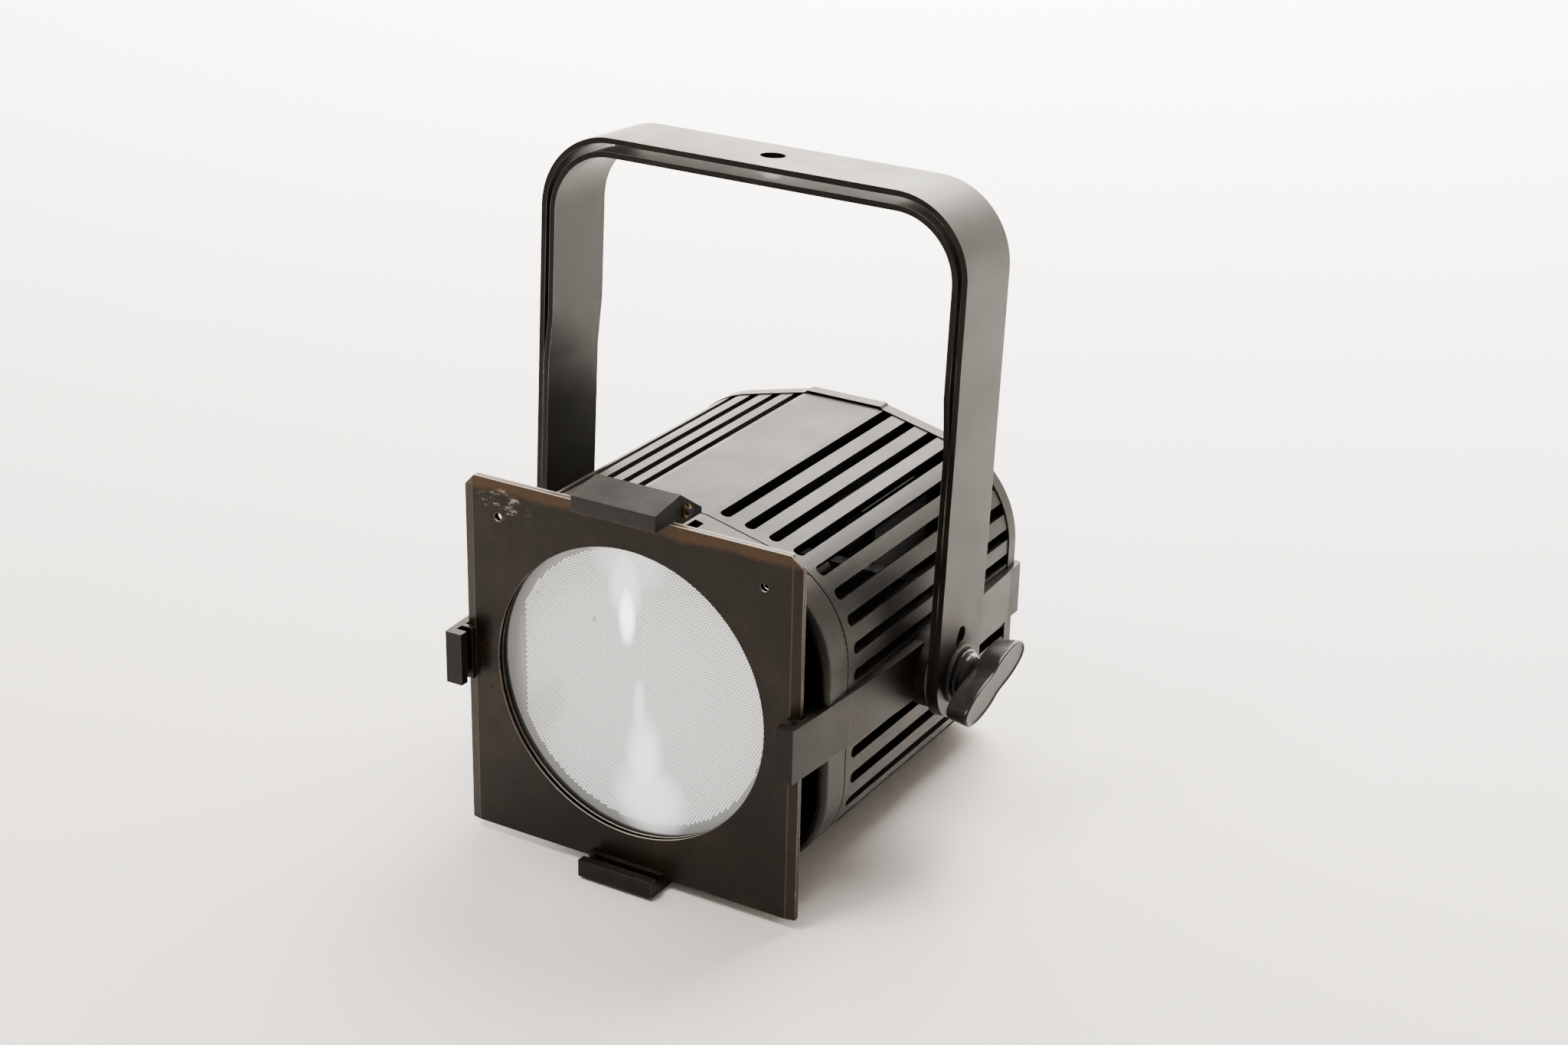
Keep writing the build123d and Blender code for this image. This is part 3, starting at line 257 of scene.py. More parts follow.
def coated_metal(name, dark, light, rough, wear, bare, grain=1500.0, bump=0.25, dust_and_sheen=0.25,
                 marks=None, shine=0.15):
    """Coated metal, rubbed through to a bare colour at its corners, and lighter where it faces up
    with dust and a painted sheen of light from above.

    rough is the lowest and highest roughness. wear is the corner radius, the scale of its
    breakup, the strength of the rubbed line and the amount of chips. marks adds a colour layer.
    """
    material, tree, shader, place = start_material(name)
    coat = drop_in(tree, coat_group, Vector=place, Dark=dark, Light=light,
                   Grain_Scale=grain, Rough_Low=rough[0], Rough_High=rough[1])
    worn = drop_in(tree, wear_group, Vector=place, Radius=wear[0], Breakup_Scale=wear[1],
                   Line=wear[2], Chips=wear[3])
    dust_and_sheen_mask = drop_in(tree, dust_and_sheen_group, Vector=place, Amount=dust_and_sheen)
    colour = coat.outputs["Colour"]
    if marks:
        colour = marks(tree, place, colour)
    colour = blend_colours(tree, dust_and_sheen_mask.outputs["Mask"], colour, metal_dust_and_sheen)
    colour = blend_colours(tree, worn.outputs["Mask"], colour, bare)
    feed(tree, shader.inputs["Base Color"], colour)
    feed(tree, shader.inputs["Roughness"], coat.outputs["Roughness"])
    shader.inputs["Specular IOR Level"].default_value = shine
    raise_surface(tree, shader, coat.outputs["Height"], bump, coat_grain_height)
    return material


casting = coated_metal(
    "casting_powder_coat", dark=(0.0032, 0.0024, 0.0018, 1), light=(0.0080, 0.0062, 0.0046, 1),
    rough=(0.34, 0.46), wear=(0.0007, 160.0, 0.30, 0.10), bare=(0.30, 0.26, 0.21, 1),
    bump=0.4, dust_and_sheen=0.05)
dress(["main_housing", "front_bezel", "rear_ring"], casting)


# Fasteners: blackened pan-head screws that hold the bezel, the rear panel, the sockets and the
# safety bracket. Drivers have rubbed their rims.
screw_black = coated_metal(
    "blackened_steel", dark=(0.016, 0.016, 0.017, 1), light=(0.045, 0.044, 0.043, 1),
    rough=(0.28, 0.42), wear=(0.0003, 300.0, 0.5, 0.3), bare=(0.42, 0.41, 0.40, 1),
    grain=2400.0, bump=0.1)
dress(["bezel_screws", "panel_screws", "connector_screws", "safety_screws"], screw_black)


# Light engine: a spun tube, white inside, in front of an LED board that a white holder clamps to
# a finned heat sink. The tube's outside and the sink are coloured near black, partly their black
# anodised finish and partly painted shade for the dark inside that the vents show.
tube_paint, tree, shader, place = start_material("light_tube_paint")
light_axis = (0.0, 0.0, 0.1002)
across_wall = 0.001
from_axis = put(tree, "ShaderNodeVectorMath", {"operation": "SUBTRACT"}, _0=place,
                _1=light_axis).outputs[0]
from_axis = put(tree, "ShaderNodeVectorMath", {"operation": "MULTIPLY"}, _0=from_axis,
                _1=(1.0, 0.0, 1.0)).outputs[0]
tube_face = put(tree, "ShaderNodeNewGeometry").outputs["Normal"]
turned_in = put(tree, "ShaderNodeVectorMath", {"operation": "DOT_PRODUCT"}, _0=from_axis,
                _1=tube_face).outputs["Value"]
tube_specks = speckle(tree, place, 400.0)
outside = blend_colours(tree, tube_specks, (0.010, 0.010, 0.010, 1), (0.020, 0.020, 0.020, 1))
inside = blend_colours(tree, tube_specks, (0.62, 0.62, 0.60, 1), (0.72, 0.72, 0.70, 1))
feed(tree, shader.inputs["Base Color"], blend_colours(
    tree, spread(tree, turned_in, across_wall, -across_wall), outside, inside))
feed(tree, shader.inputs["Roughness"], spread(tree, tube_specks, 0.3, 0.7, 0.45, 0.65))
dress(["light_tube"], tube_paint)


plain_grain_height = 0.0001


def plain_finish(name, dark, light, scale, rough, metallic=0.0, stretch=None, bump=0.1):
    """A finish of fine colour variation with its own grain, drawn out along an axis if wanted."""
    material, tree, shader, place = start_material(name)
    fine = speckle(tree, place, scale, 4.0, 0.6, stretch)
    feed(tree, shader.inputs["Base Color"], blend_colours(tree, fine, dark, light))
    feed(tree, shader.inputs["Roughness"], spread(tree, fine, 0.3, 0.7, rough[0], rough[1]))
    shader.inputs["Metallic"].default_value = metallic
    raise_surface(tree, shader, fine, bump, plain_grain_height)
    return material


dress(["heat_sink"], plain_finish(
    "black_anodised_extrusion", dark=(0.012, 0.012, 0.013, 1), light=(0.024, 0.024, 0.025, 1),
    scale=600.0, rough=(0.4, 0.55), stretch=(1.0, 0.03, 1.0)))
dress(["led_holder"], plain_finish(
    "white_holder_plastic", dark=(0.55, 0.55, 0.53, 1), light=(0.66, 0.66, 0.64, 1),
    scale=900.0, rough=(0.4, 0.5)))
dress(["led_chips"], plain_finish(
    "led_phosphor", dark=(0.68, 0.50, 0.10, 1), light=(0.80, 0.62, 0.18, 1),
    scale=1500.0, rough=(0.3, 0.4)))
# The boards' green is darkened nearly to black: painted shade for the dark inside of the housing
# seen through the vents.
shaded_solder_mask = plain_finish(
    "green_board_painted_shade", dark=(0.003, 0.012, 0.006, 1), light=(0.005, 0.018, 0.009, 1),
    scale=180.0, rough=(0.3, 0.45), stretch=(1.0, 0.2, 1.0))
dress(["led_board", "driver_board", "control_board"], shaded_solder_mask)


# Driver and controls: a zinc-plated tray and standoffs carry the driver board with its
# transformers and capacitors, and a second board behind the rear panel carries the switches.
zinc = plain_finish(
    "zinc_plating", dark=(0.20, 0.20, 0.19, 1), light=(0.32, 0.32, 0.31, 1),
    scale=260.0, rough=(0.26, 0.42), metallic=1.0, stretch=(1.0, 1.0, 0.15))
dress(["driver_tray", "driver_standoffs", "control_standoffs", "holder_screws"], zinc)


moulded_grain_height = 0.00008
moulded_dust_and_sheen, moulded_dust_and_sheen_amount = (0.20, 0.18, 0.16, 1), 0.04


def moulded(name, dark, light, rough, bump, grain=2600.0):
    """Moulded plastic with a fine eroded texture, a little lighter where it faces up with dust
    and a painted sheen of light from above.
    """
    material, tree, shader, place = start_material(name)
    coat = drop_in(tree, coat_group, Vector=place, Dark=dark, Light=light, Grain_Scale=grain,
                   Cloud_Scale=60.0, Rough_Low=rough[0], Rough_High=rough[1])
    dust_and_sheen_mask = drop_in(tree, dust_and_sheen_group, Vector=place, Amount=moulded_dust_and_sheen_amount)
    feed(tree, shader.inputs["Base Color"], blend_colours(
        tree, dust_and_sheen_mask.outputs["Mask"], coat.outputs["Colour"], moulded_dust_and_sheen))
    feed(tree, shader.inputs["Roughness"], coat.outputs["Roughness"])
    shader.inputs["Specular IOR Level"].default_value = 0.16
    raise_surface(tree, shader, coat.outputs["Height"], bump, moulded_grain_height)
    return material


socket_plastic = moulded(
    "socket_plastic", dark=(0.011, 0.011, 0.012, 1), light=(0.024, 0.024, 0.025, 1),
    rough=(0.38, 0.52), bump=0.25)
dress(["driver_parts", "button_switches", "display_module"], socket_plastic)


# Lens: a clear plate with its front pressed full of small six-sided prisms inside a smooth rim,
# held in the barrel by a black ring against a rubber gasket. Its light is painted into its
# material: a painted glow in soft patches fixed to the lens, in place of the white tube behind it
# and the highlights on the prisms, painted highlights on the prism tips, and painted shade in the
# valleys between the prisms and towards the left edge.
lens_low, lens_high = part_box("lens")
lens_middle = (lens_low + lens_high) / 2
lens_front, lens_back = lens_low.y, lens_high.y
edge_gap = 0.00002
tip_gap = 0.00004
lens_reach = (lens_high.x - lens_low.x) / 2 - edge_gap
rim_bevel = 0.0004
rim_slices = 160
prism_pitch = 0.00165
prism_rise = 0.00034
prism_sides = 6
prism_field = 0.0722  # radius of the part with prisms
plain_strip, plain_strip_half = -0.0655, 0.05  # no prisms beyond this on the left
weld_step = 5  # micrometres within which prism corners are one
shape = bmesh.new()
face_level = lens_front + prism_rise + tip_gap
loops = []
for reach, depth in ((lens_reach - rim_bevel, face_level), (lens_reach, face_level + rim_bevel),
                     (lens_reach, lens_back)):
    loops.append([shape.verts.new((
        lens_middle.x + reach * math.cos(math.tau * i / rim_slices), depth,
        lens_middle.z + reach * math.sin(math.tau * i / rim_slices))) for i in range(rim_slices)])
shape.faces.new(loops[0])
for first, second in zip(loops, loops[1:]):
    for i in range(rim_slices):
        j = (i + 1) % rim_slices
        shape.faces.new((first[i], second[i], second[j], first[j]))
shape.faces.new(loops[-1])
corners = {}
row_gap = prism_pitch * math.sqrt(3) / 2
rows = int(prism_field / row_gap) + 1
corner_reach = prism_pitch / math.sqrt(3)
for row in range(-rows, rows + 1):
    z = row * row_gap
    shift = (row % 2) * prism_pitch / 2
    for column in range(-rows - 1, rows + 2):
        x = column * prism_pitch + shift
        if math.hypot(x, z) > prism_field or (x < plain_strip and abs(z) < plain_strip_half):
            continue
        tip = shape.verts.new((lens_middle.x + x, face_level - prism_rise, lens_middle.z + z))
        around = []
        for i in range(prism_sides):
            turn = math.radians(60 * i + 30)
            across, up = x + corner_reach * math.cos(turn), z + corner_reach * math.sin(turn)
            key = (round(across * 1e6 / weld_step), round(up * 1e6 / weld_step))
            if key not in corners:
                corners[key] = shape.verts.new(
                    (lens_middle.x + across, face_level - edge_gap, lens_middle.z + up))
            around.append(corners[key])
        for i in range(prism_sides):
            shape.faces.new((around[i], around[(i + 1) % prism_sides], tip))
bmesh.ops.recalc_face_normals(shape, faces=shape.faces[:rim_slices * 2 + 2])
lens_mesh = bpy.data.meshes.new("prism_lens")
shape.to_mesh(lens_mesh)
shape.free()
lens = bpy.data.objects.new("prism_lens", lens_mesh)
bpy.context.collection.objects.link(lens)
lens_material, tree, shader, place = start_material("prism_plastic_painted_light")
spot = put(tree, "ShaderNodeVectorMath", {"operation": "SUBTRACT"}, _0=place,
           _1=lens_middle).outputs[0]
spot = put(tree, "ShaderNodeSeparateXYZ", None, Vector=spot)


def soft_patch(tree, spot, middle, reach, lean=0.0):
    """A soft oval on the lens: 1 in its middle, 0 beyond its reach. lean slants it."""
    x = maths(tree, "SUBTRACT", spot.outputs["X"], middle[0])
    z = maths(tree, "SUBTRACT", spot.outputs["Z"], middle[1])
    x = maths(tree, "ADD", x, maths(tree, "MULTIPLY", z, lean))
    x = maths(tree, "DIVIDE", x, reach[0])
    z = maths(tree, "DIVIDE", z, reach[1])
    far = maths(tree, "ADD", maths(tree, "MULTIPLY", x, x), maths(tree, "MULTIPLY", z, z))
    return spread(tree, far, 1.0, 0.0)


def strongest(tree, spot, patches):
    """The strongest of several soft ovals, each a middle, a reach, a lean and a strength."""
    found = None
    for middle, reach, lean, strength in patches:
        patch = maths(tree, "MULTIPLY", soft_patch(tree, spot, middle, reach, lean), strength)
        found = maths(tree, "MAXIMUM", found, patch) if found else patch
    return found


# Painted glow: bright soft patches down the middle of the lens, painted highlights in place of
# the tube's light and the prisms' glints.
painted_glow = strongest(tree, spot, (
    ((-0.006, 0.038), (0.0060, 0.019), 0.0, 1.0),
    ((-0.007, 0.055), (0.012, 0.026), 0.0, 0.40),
    ((-0.005, 0.066), (0.026, 0.018), 0.0, 0.25),
    ((0.001, -0.012), (0.0045, 0.022), 0.0, 0.35),
    ((0.004, -0.040), (0.013, 0.034), 0.0, 0.45),
    ((0.007, -0.058), (0.026, 0.024), 0.0, 0.40),
))
# Painted shade: darker patches towards the lens's left edge.
painted_shade = strongest(tree, spot, (
    ((-0.058, -0.028), (0.016, 0.026), -0.5, 0.55),
    ((-0.080, 0.004), (0.018, 0.085), 0.0, 0.35),
))
specks = strongest(tree, spot, (
    ((-0.058, 0.037), (0.0011, 0.0011), 0.0, 1.0),
    ((-0.025, 0.031), (0.0010, 0.0024), -0.5, 1.0),
))
haze = speckle(tree, place, 35.0, 4.0)
depth = put(tree, "ShaderNodeSeparateXYZ", None, Vector=place).outputs["Y"]
# Painted shade in the valleys between the prisms; the prism tips get a painted glow.
valley_shade = spread(tree, depth, face_level - prism_rise * 0.55, face_level - prism_rise * 0.15)
facet_glow = 0.28
painted_facet_glow = maths(tree, "MULTIPLY", maths(tree, "SUBTRACT", 1.0, valley_shade), facet_glow)
clear = blend_colours(tree, haze, (0.90, 0.90, 0.89, 1), (0.96, 0.96, 0.95, 1))
body_colour = blend_colours(tree, valley_shade, clear, (0.22, 0.22, 0.215, 1))
body_colour = blend_colours(tree, painted_glow, body_colour, (0.95, 0.95, 0.94, 1))
body_colour = blend_colours(tree, painted_shade, body_colour, (0.22, 0.20, 0.18, 1))
body_colour = blend_colours(tree, specks, body_colour, (0.03, 0.025, 0.02, 1))
feed(tree, shader.inputs["Base Color"], body_colour)
# The lens glows though it is no lamp: painted light, brightest in the glow patches and on the
# prism tips.
feed(tree, shader.inputs["Emission Color"], blend_colours(
    tree, maths(tree, "MAXIMUM", painted_glow, painted_facet_glow), (0.05, 0.05, 0.049, 1), (1.0, 1.0, 0.98, 1)))
shader.inputs["Emission Strength"].default_value = 2.8
feed(tree, shader.inputs["Roughness"], spread(tree, haze, 0.3, 0.7, 0.14, 0.24))
lens_mesh.materials.append(lens_material)
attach(lens, "housing")
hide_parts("lens")
dress(["lens_ring"], coated_metal(
    "lens_ring_paint", dark=(0.030, 0.029, 0.028, 1), light=(0.060, 0.058, 0.055, 1),
    rough=(0.35, 0.5), wear=(0.0004, 90.0, 0.2, 0.1), bare=(0.3, 0.3, 0.3, 1), bump=0.1))
dress(["lens_gasket"], moulded(
    "gasket_rubber", dark=(0.020, 0.020, 0.020, 1), light=(0.035, 0.035, 0.034, 1),
    rough=(0.6, 0.75), bump=0.2))


# Rear panel: punched steel sheet, powder coated like the castings but smoother, with a display
# window, four moulded push buttons and the safety bracket, all screwed on or snapped in.
dress(["rear_panel", "safety_bracket"], coated_metal(
    "panel_powder_coat", dark=(0.006, 0.0055, 0.005, 1), light=(0.013, 0.012, 0.011, 1),
    rough=(0.36, 0.50), wear=(0.0004, 200.0, 0.45, 0.12), bare=(0.32, 0.31, 0.29, 1),
    grain=1100.0, bump=0.3, dust_and_sheen=0.05))
dress(["button_1", "button_2", "button_3", "button_4"], moulded(
    "button_plastic", dark=(0.045, 0.045, 0.047, 1), light=(0.075, 0.075, 0.077, 1),
    rough=(0.45, 0.6), bump=0.3, grain=1800.0))
window_material, tree, shader, place = start_material("display_window")
cell_scale = 260.0
along = put(tree, "ShaderNodeSeparateXYZ", None, Vector=place)
flat_place = put(tree, "ShaderNodeCombineXYZ", None, X=along.outputs["X"],
                 Y=along.outputs["Z"]).outputs[0]
cells = put(tree, "ShaderNodeTexBrick", {"offset": 0.0}, Vector=flat_place, Scale=cell_scale,
            Color1=(0.006, 0.012, 0.014, 1), Color2=(0.008, 0.015, 0.017, 1),
            Mortar=(0.003, 0.004, 0.005, 1))
feed(tree, shader.inputs["Base Color"], cells.outputs["Color"])
smudges = speckle(tree, place, 40.0)
feed(tree, shader.inputs["Roughness"], spread(tree, smudges, 0.3, 0.7, 0.05, 0.13))
dress(["display_glass"], window_material)


# Sockets: four moulded flanged sockets for power and data with brass contacts, screwed to the
# rear panel, and a fuse holder with a turning cap below them.
dress(["power_inlet", "power_outlet", "data_in", "data_out", "fuse_holder", "fuse_cap"],
      socket_plastic)
dress(["connector_contacts"], plain_finish(
    "contact_brass", dark=(0.55, 0.38, 0.14, 1), light=(0.70, 0.52, 0.24, 1),
    scale=500.0, rough=(0.22, 0.35), metallic=1.0))


# Yokes: two steel straps, sheared, punched, bent to a U and powder coated, one inside the other
# on the same pivots. Their sheared edges are chipped to bare metal, and faint brown smears run
# up the legs.
smear_scale, smear_stretch, smear_share = 26.0, (1.0, 1.6, 0.35), 0.5
smear_brown = (0.018, 0.0115, 0.0070, 1)


def rubbed(tree, place, colour):
    """Faint brown smears, drawn out up the legs."""
    smear = spread(tree, speckle(tree, place, smear_scale, 5.0, 0.65, smear_stretch), 0.50, 0.74)
    return blend_colours(tree, maths(tree, "MULTIPLY", smear, smear_share), colour, smear_brown)


dress(["outer_yoke", "inner_yoke"], coated_metal(
    "strap_powder_coat", dark=(0.0036, 0.0028, 0.0021, 1), light=(0.0090, 0.0072, 0.0056, 1),
    rough=(0.30, 0.40), wear=(0.0006, 110.0, 0.75, 0.17), bare=(0.45, 0.43, 0.39, 1),
    bump=0.3, dust_and_sheen=0.06, marks=rubbed))
bright_steel = plain_finish(
    "bright_steel", dark=(0.50, 0.49, 0.47, 1), light=(0.66, 0.65, 0.62, 1),
    scale=900.0, rough=(0.20, 0.34), metallic=1.0)
dress(["yoke_set_screws"], bright_steel)


# Clamps: at each pivot a brown fibre disc, a blackened washer and a steel stud in a glossy
# moulded knob with two offset wings. The knobs' faces are left bare inside a raised rim.
dress(["friction_disc_right", "friction_disc_left"], plain_finish(
    "friction_fibre", dark=(0.045, 0.032, 0.022, 1), light=(0.085, 0.064, 0.045, 1),
    scale=700.0, rough=(0.7, 0.85), bump=0.4))
dress(["clamp_washer_right", "clamp_washer_left"], screw_black)
dress(["knob_stud_right", "knob_stud_left"], zinc)
knob_plastic = moulded(
    "knob_plastic", dark=(0.010, 0.0095, 0.009, 1), light=(0.018, 0.016, 0.014, 1),
    rough=(0.16, 0.26), bump=0.04)
flange_reach = 0.0134
hub_reach = 0.0113
hub_points = 48
flange_depth = 0.0026
hub_depth = 0.0056
hub_skin = (  # reach from the pivot, and depth from the knob's inner end
    (flange_reach - 0.0008, 0.0), (flange_reach, 0.0005), (flange_reach, flange_depth - 0.0008),
    (flange_reach - 0.0008, flange_depth), (hub_reach + 0.0006, flange_depth + 0.0002),
    (hub_reach, flange_depth + 0.0008), (hub_reach - 0.0010, hub_depth + 0.0015),
)
wing_tilt = math.radians(12.9)
wing_side = [  # one wing's edge, along and up, from its tip round to the other wing's tip
    (0.0331, 0.0), (0.0322, 0.0036), (0.0292, 0.0066), (0.0240, 0.0086), (0.0170, 0.0095),
    (0.0095, 0.0094), (0.0035, 0.0086), (0.0005, 0.0074), (-0.0040, 0.0068), (-0.0110, 0.0072),
    (-0.0180, 0.0070), (-0.0245, 0.0058), (-0.0295, 0.0042), (-0.0324, 0.0022),
]
wing_outline = wing_side + [(-x, -z) for x, z in wing_side]
wing_root = (  # share of the outline's width and length, and depth outward from the hub
    (0.62, 0.80, 0.0), (0.80, 0.93, 0.0005), (0.86, 0.955, 0.0022),
)
wing_face = (  # the same shares, and depth inward from the knob's face, down to the bare field
    (0.97, 0.99, 0.0030), (1.0, 1.0, 0.0014), (0.985, 0.995, 0.0004), (0.93, 0.975, 0.0),
    (0.86, 0.955, 0.00002), (0.80, 0.94, 0.0006), (0.76, 0.93, 0.0007),
)
face_gap = 0.00005
clamp_low, clamp_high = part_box("clamp_washer_right")
pivot_y = (clamp_low.y + clamp_high.y) / 2
pivot_z = (clamp_low.z + clamp_high.z) / 2


def ring_of(shape, points, x):
    """A loop of points round the pivot at x, turned with the wings."""
    loop = []
    for along, up in points:
        y = along * math.cos(wing_tilt) - up * math.sin(wing_tilt)
        z = along * math.sin(wing_tilt) + up * math.cos(wing_tilt)
        loop.append(shape.verts.new((x, pivot_y + y, pivot_z + z)))
    return loop


def close_skin(shape, rings):
    """A closed skin over successive loops."""
    for first, second in zip(rings, rings[1:]):
        for i in range(len(first)):
            j = (i + 1) % len(first)
            shape.faces.new((first[i], first[j], second[j], second[i]))
    shape.faces.new(rings[0])
    shape.faces.new(rings[-1])


def circle(reach):
    """Points round the hub."""
    turns = [math.tau * i / hub_points for i in range(hub_points)]
    return [(reach * math.cos(turn), reach * math.sin(turn)) for turn in turns]


for side, body in ((1, "knob_right"), (-1, "knob_left")):
    low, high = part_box(body)
    inner = low.x if side > 0 else -high.x
    outer = (high.x if side > 0 else -low.x) - face_gap
    shape = bmesh.new()
    close_skin(shape, [ring_of(shape, circle(reach), side * (inner + depth))
                       for reach, depth in hub_skin])
    wing_skin = [(width, length, inner + hub_depth + depth) for width, length, depth in wing_root]
    wing_skin += [(width, length, outer - depth) for width, length, depth in wing_face]
    close_skin(shape, [
        ring_of(shape, [(x * length, z * width) for x, z in wing_outline], side * depth)
        for width, length, depth in wing_skin])
    bmesh.ops.recalc_face_normals(shape, faces=shape.faces)
    knob_mesh = bpy.data.meshes.new(f"{body}_moulding")
    shape.to_mesh(knob_mesh)
    shape.free()
    for face in knob_mesh.polygons:
        face.use_smooth = True
    knob = bpy.data.objects.new(f"{body}_moulding", knob_mesh)
    bpy.context.collection.objects.link(knob)
    rounded = knob.modifiers.new("soft_corners", "SUBSURF")
    rounded.levels = 2
    rounded.render_levels = 2
    knob_mesh.materials.append(knob_plastic)
    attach(knob, body)
    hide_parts(body)


# Gel frame: two thin sheet-steel leaves, the front one with sloped sides, painted satin black.
# Sliding in and out of the holders has rubbed the paint brown along its top and left scratches.
frame_low, frame_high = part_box("gel_frame")
leaf_middle = (frame_low.y + frame_high.y) / 2
hem_width = 0.005
hem_from = frame_high.x - hem_width
hem_blend = 0.0006
hem_brown, fold_brown = (0.020, 0.013, 0.008, 1), (0.075, 0.060, 0.048, 1)
band_start, band_full, band_ragged = 0.0125, 0.0085, 0.010
band_brown = (0.062, 0.032, 0.012, 1)
slide_brown = (0.026, 0.016, 0.0085, 1)
hem_wear_and_highlight = (0.42, 0.38, 0.33, 1)
scuff_in, scuff_down = 0.024, 0.011  # from the left edge and the top edge
scuff_grey = (0.40, 0.35, 0.30, 1)


def sliding_marks(tree, place, colour):
    """Brown rubbing along the top edge and a patch of pale scratches in the left corner."""

    def lay(share, strength, over, tint):
        """A tint laid over a colour where a mark is."""
        return blend_colours(tree, maths(tree, "MULTIPLY", share, strength), over, tint)

    def distance(value, level):
        """How far a value is from a level."""
        return maths(tree, "ABSOLUTE", maths(tree, "SUBTRACT", value, level))

    spot = put(tree, "ShaderNodeSeparateXYZ", None, Vector=place)
    below_top = maths(tree, "SUBTRACT", frame_high.z, spot.outputs["Z"])
    smears = spread(tree, speckle(tree, place, 18.0, 5.0, 0.6), 0.50, 0.72)
    colour = lay(smears, 0.5, colour, slide_brown)
    from_middle = maths(tree, "ABSOLUTE", spot.outputs["X"])
    fold = spread(tree, distance(from_middle, hem_from), 0.0007, 0.0001)
    colour = lay(fold, 0.5, colour, fold_brown)
    hem = spread(tree, from_middle, hem_from, hem_from + hem_blend)
    colour = lay(hem, 0.5, colour, hem_brown)
    ragged = speckle(tree, place, 55.0, 6.0, 0.7, (0.35, 1.0, 1.0))
    ragged_edge = maths(tree, "ADD", below_top, maths(tree, "MULTIPLY", ragged, band_ragged))
    colour = lay(spread(tree, ragged_edge, band_start, band_full), 0.7, colour, band_brown)
    # Painted highlight with wear: the top faces near the leaves' front and back edges are
    # lightened, a bright line as of light on the folds, partly rubbed paint.
    normal = put(tree, "ShaderNodeNewGeometry").outputs["Normal"]
    upward = put(tree, "ShaderNodeSeparateXYZ", None, Vector=normal).outputs["Z"]
    leaf_edge = spread(tree, distance(spot.outputs["Y"], leaf_middle), 0.0009, 0.0016)
    hem_wear_and_highlight_line = maths(tree, "MULTIPLY", spread(tree, upward, 0.5, 0.9), leaf_edge)
    colour = lay(hem_wear_and_highlight_line, 0.8, colour, hem_wear_and_highlight)
    from_left = maths(tree, "SUBTRACT", spot.outputs["X"], frame_low.x)
    near_x = spread(tree, distance(from_left, scuff_in), 0.019, 0.004)
    near_z = spread(tree, distance(below_top, scuff_down), 0.010, 0.002)
    scratches = spread(tree, speckle(tree, place, 190.0, 6.0, 0.75, (0.5, 1.0, 1.4)), 0.53, 0.66)
    scuff = maths(tree, "MULTIPLY", maths(tree, "MULTIPLY", near_x, near_z), scratches)
    return lay(scuff, 0.8, colour, scuff_grey)


dress(["gel_frame", "gel_frame_back"], coated_metal(
    "gel_frame_paint", dark=(0.0050, 0.0034, 0.0022, 1), light=(0.0115, 0.0080, 0.0055, 1),
    rough=(0.26, 0.40), wear=(0.0006, 90.0, 0.9, 0.20), bare=(0.46, 0.41, 0.35, 1),
    bump=0.15, dust_and_sheen=0.04, marks=sliding_marks))


# Latch: a pressed steel lid on a headed pin through the bezel's lug, held down by a coil spring
# and kept by two small clips. Fingers have polished its ridges.
dress(["latch", "data_out_latch"], coated_metal(
    "latch_paint", dark=(0.009, 0.0088, 0.0085, 1), light=(0.019, 0.0185, 0.018, 1),
    rough=(0.28, 0.40), wear=(0.0006, 90.0, 0.75, 0.15), bare=(0.50, 0.48, 0.45, 1),
    bump=0.2, dust_and_sheen=0.08))
dress(["latch_pin"], screw_black)
dress(["latch_clips"], plain_finish(
    "yellow_passivated_clip", dark=(0.20, 0.13, 0.05, 1), light=(0.34, 0.24, 0.11, 1),
    scale=700.0, rough=(0.3, 0.45), metallic=1.0))
dress(["latch_spring"], bright_steel)


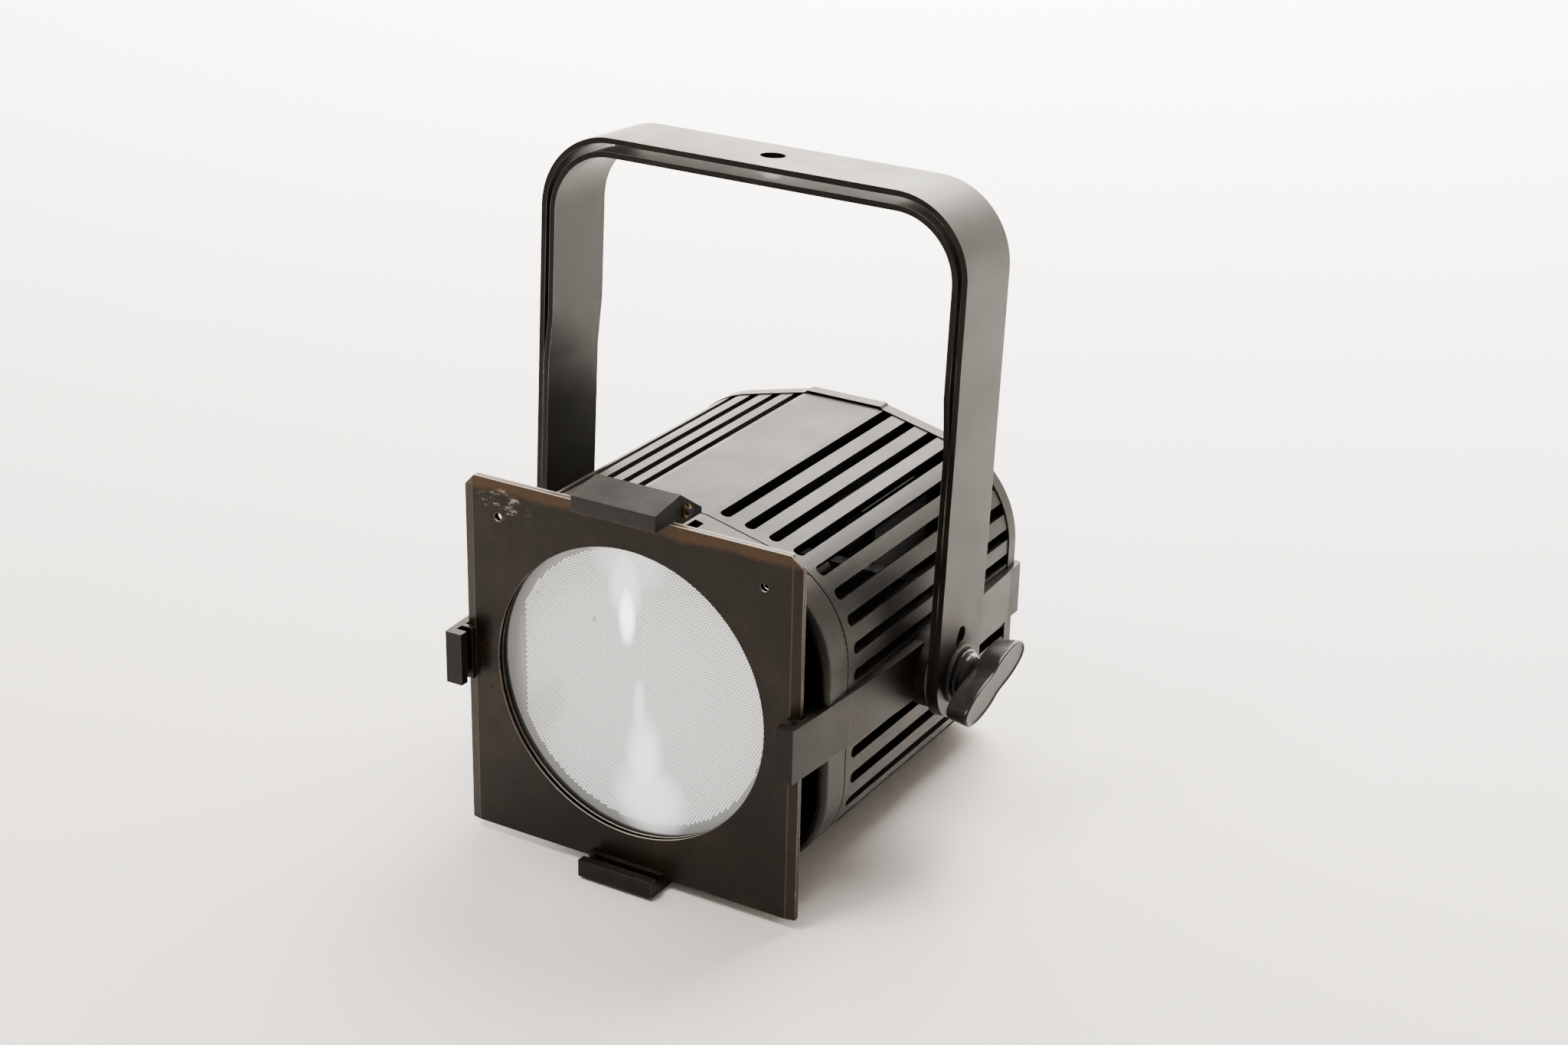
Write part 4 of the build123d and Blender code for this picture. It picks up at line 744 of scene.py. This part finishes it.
# Studio: a plain pale floor that curves up into a backdrop, four soft boxes and a pale surround.
# The floor slopes so that it touches the bottom holder's rear edge and the rear ring, on which
# the fixture stands.
holder_foot = Vector((0.0, -0.105, 0.0))
ring_foot = Vector((0.0, 0.105, 0.0161))
floor_gap = 0.0002
floor_half = 8.0
floor_slope = math.atan2(ring_foot.z - holder_foot.z, ring_foot.y - holder_foot.y)
floor_mesh = bpy.data.meshes.new("floor")
sweep_profile = [(-6.0, 0.0), (2.2, 0.0), (2.7, 0.12), (3.0, 0.5), (3.1, 1.2), (3.1, 5.0)]
shape = bmesh.new()
floor_rows = [[shape.verts.new((x, y, z)) for y, z in sweep_profile]
              for x in (-floor_half, floor_half)]
for i in range(len(sweep_profile) - 1):
    shape.faces.new((floor_rows[0][i], floor_rows[1][i], floor_rows[1][i + 1],
                     floor_rows[0][i + 1]))
shape.to_mesh(floor_mesh)
shape.free()
floor = bpy.data.objects.new("floor", floor_mesh)
bpy.context.collection.objects.link(floor)
for face in floor_mesh.polygons:
    face.use_smooth = True
floor.matrix_world = (Matrix.Translation(holder_foot) @ Matrix.Rotation(floor_slope, 4, "X")
                      @ Matrix.Translation(Vector((0, 0, -floor_gap))))
floor_material, tree, shader, place = start_material("pale_floor")
mottle = speckle(tree, place, 3.0, 5.0)
feed(tree, shader.inputs["Base Color"], blend_colours(
    tree, mottle, (0.82, 0.76, 0.69, 1), (0.87, 0.82, 0.76, 1)))
shader.inputs["Roughness"].default_value = 0.6
floor_mesh.materials.append(floor_material)


def soft_light(name, place, aim, size, power, colour):
    """A square soft box turned to a point."""
    data = bpy.data.lights.new(name, "AREA")
    data.energy = power
    data.size = size
    data.color = colour
    lamp = bpy.data.objects.new(name, data)
    bpy.context.collection.objects.link(lamp)
    lamp.location = place
    lamp.rotation_euler = (aim - Vector(place)).to_track_quat("-Z", "Y").to_euler()


fixture_middle = Vector((0, 0, 0.13))
soft_light("key_light", (-0.7, -1.2, 2.6), fixture_middle, 0.8, 75.0, (1.0, 0.95, 0.89))
soft_light("fill_light", (-2.4, 0.4, 1.8), fixture_middle, 1.2, 60.0, (1.0, 0.98, 0.96))
soft_light("top_light", (0.2, 1.5, 2.6), fixture_middle, 1.5, 190.0, (1.0, 0.98, 0.95))
soft_light("backdrop_light", (-0.8, 1.3, 2.2), Vector((-1.2, 3.0, 0.9)), 1.4, 700.0,
           (1.0, 0.99, 0.97))
world = bpy.data.worlds.new("studio")
world.use_nodes = True
surround = world.node_tree.nodes["Background"]
surround.inputs["Color"].default_value = (1.0, 0.985, 0.96, 1)
surround.inputs["Strength"].default_value = 0.42
bpy.context.scene.world = world
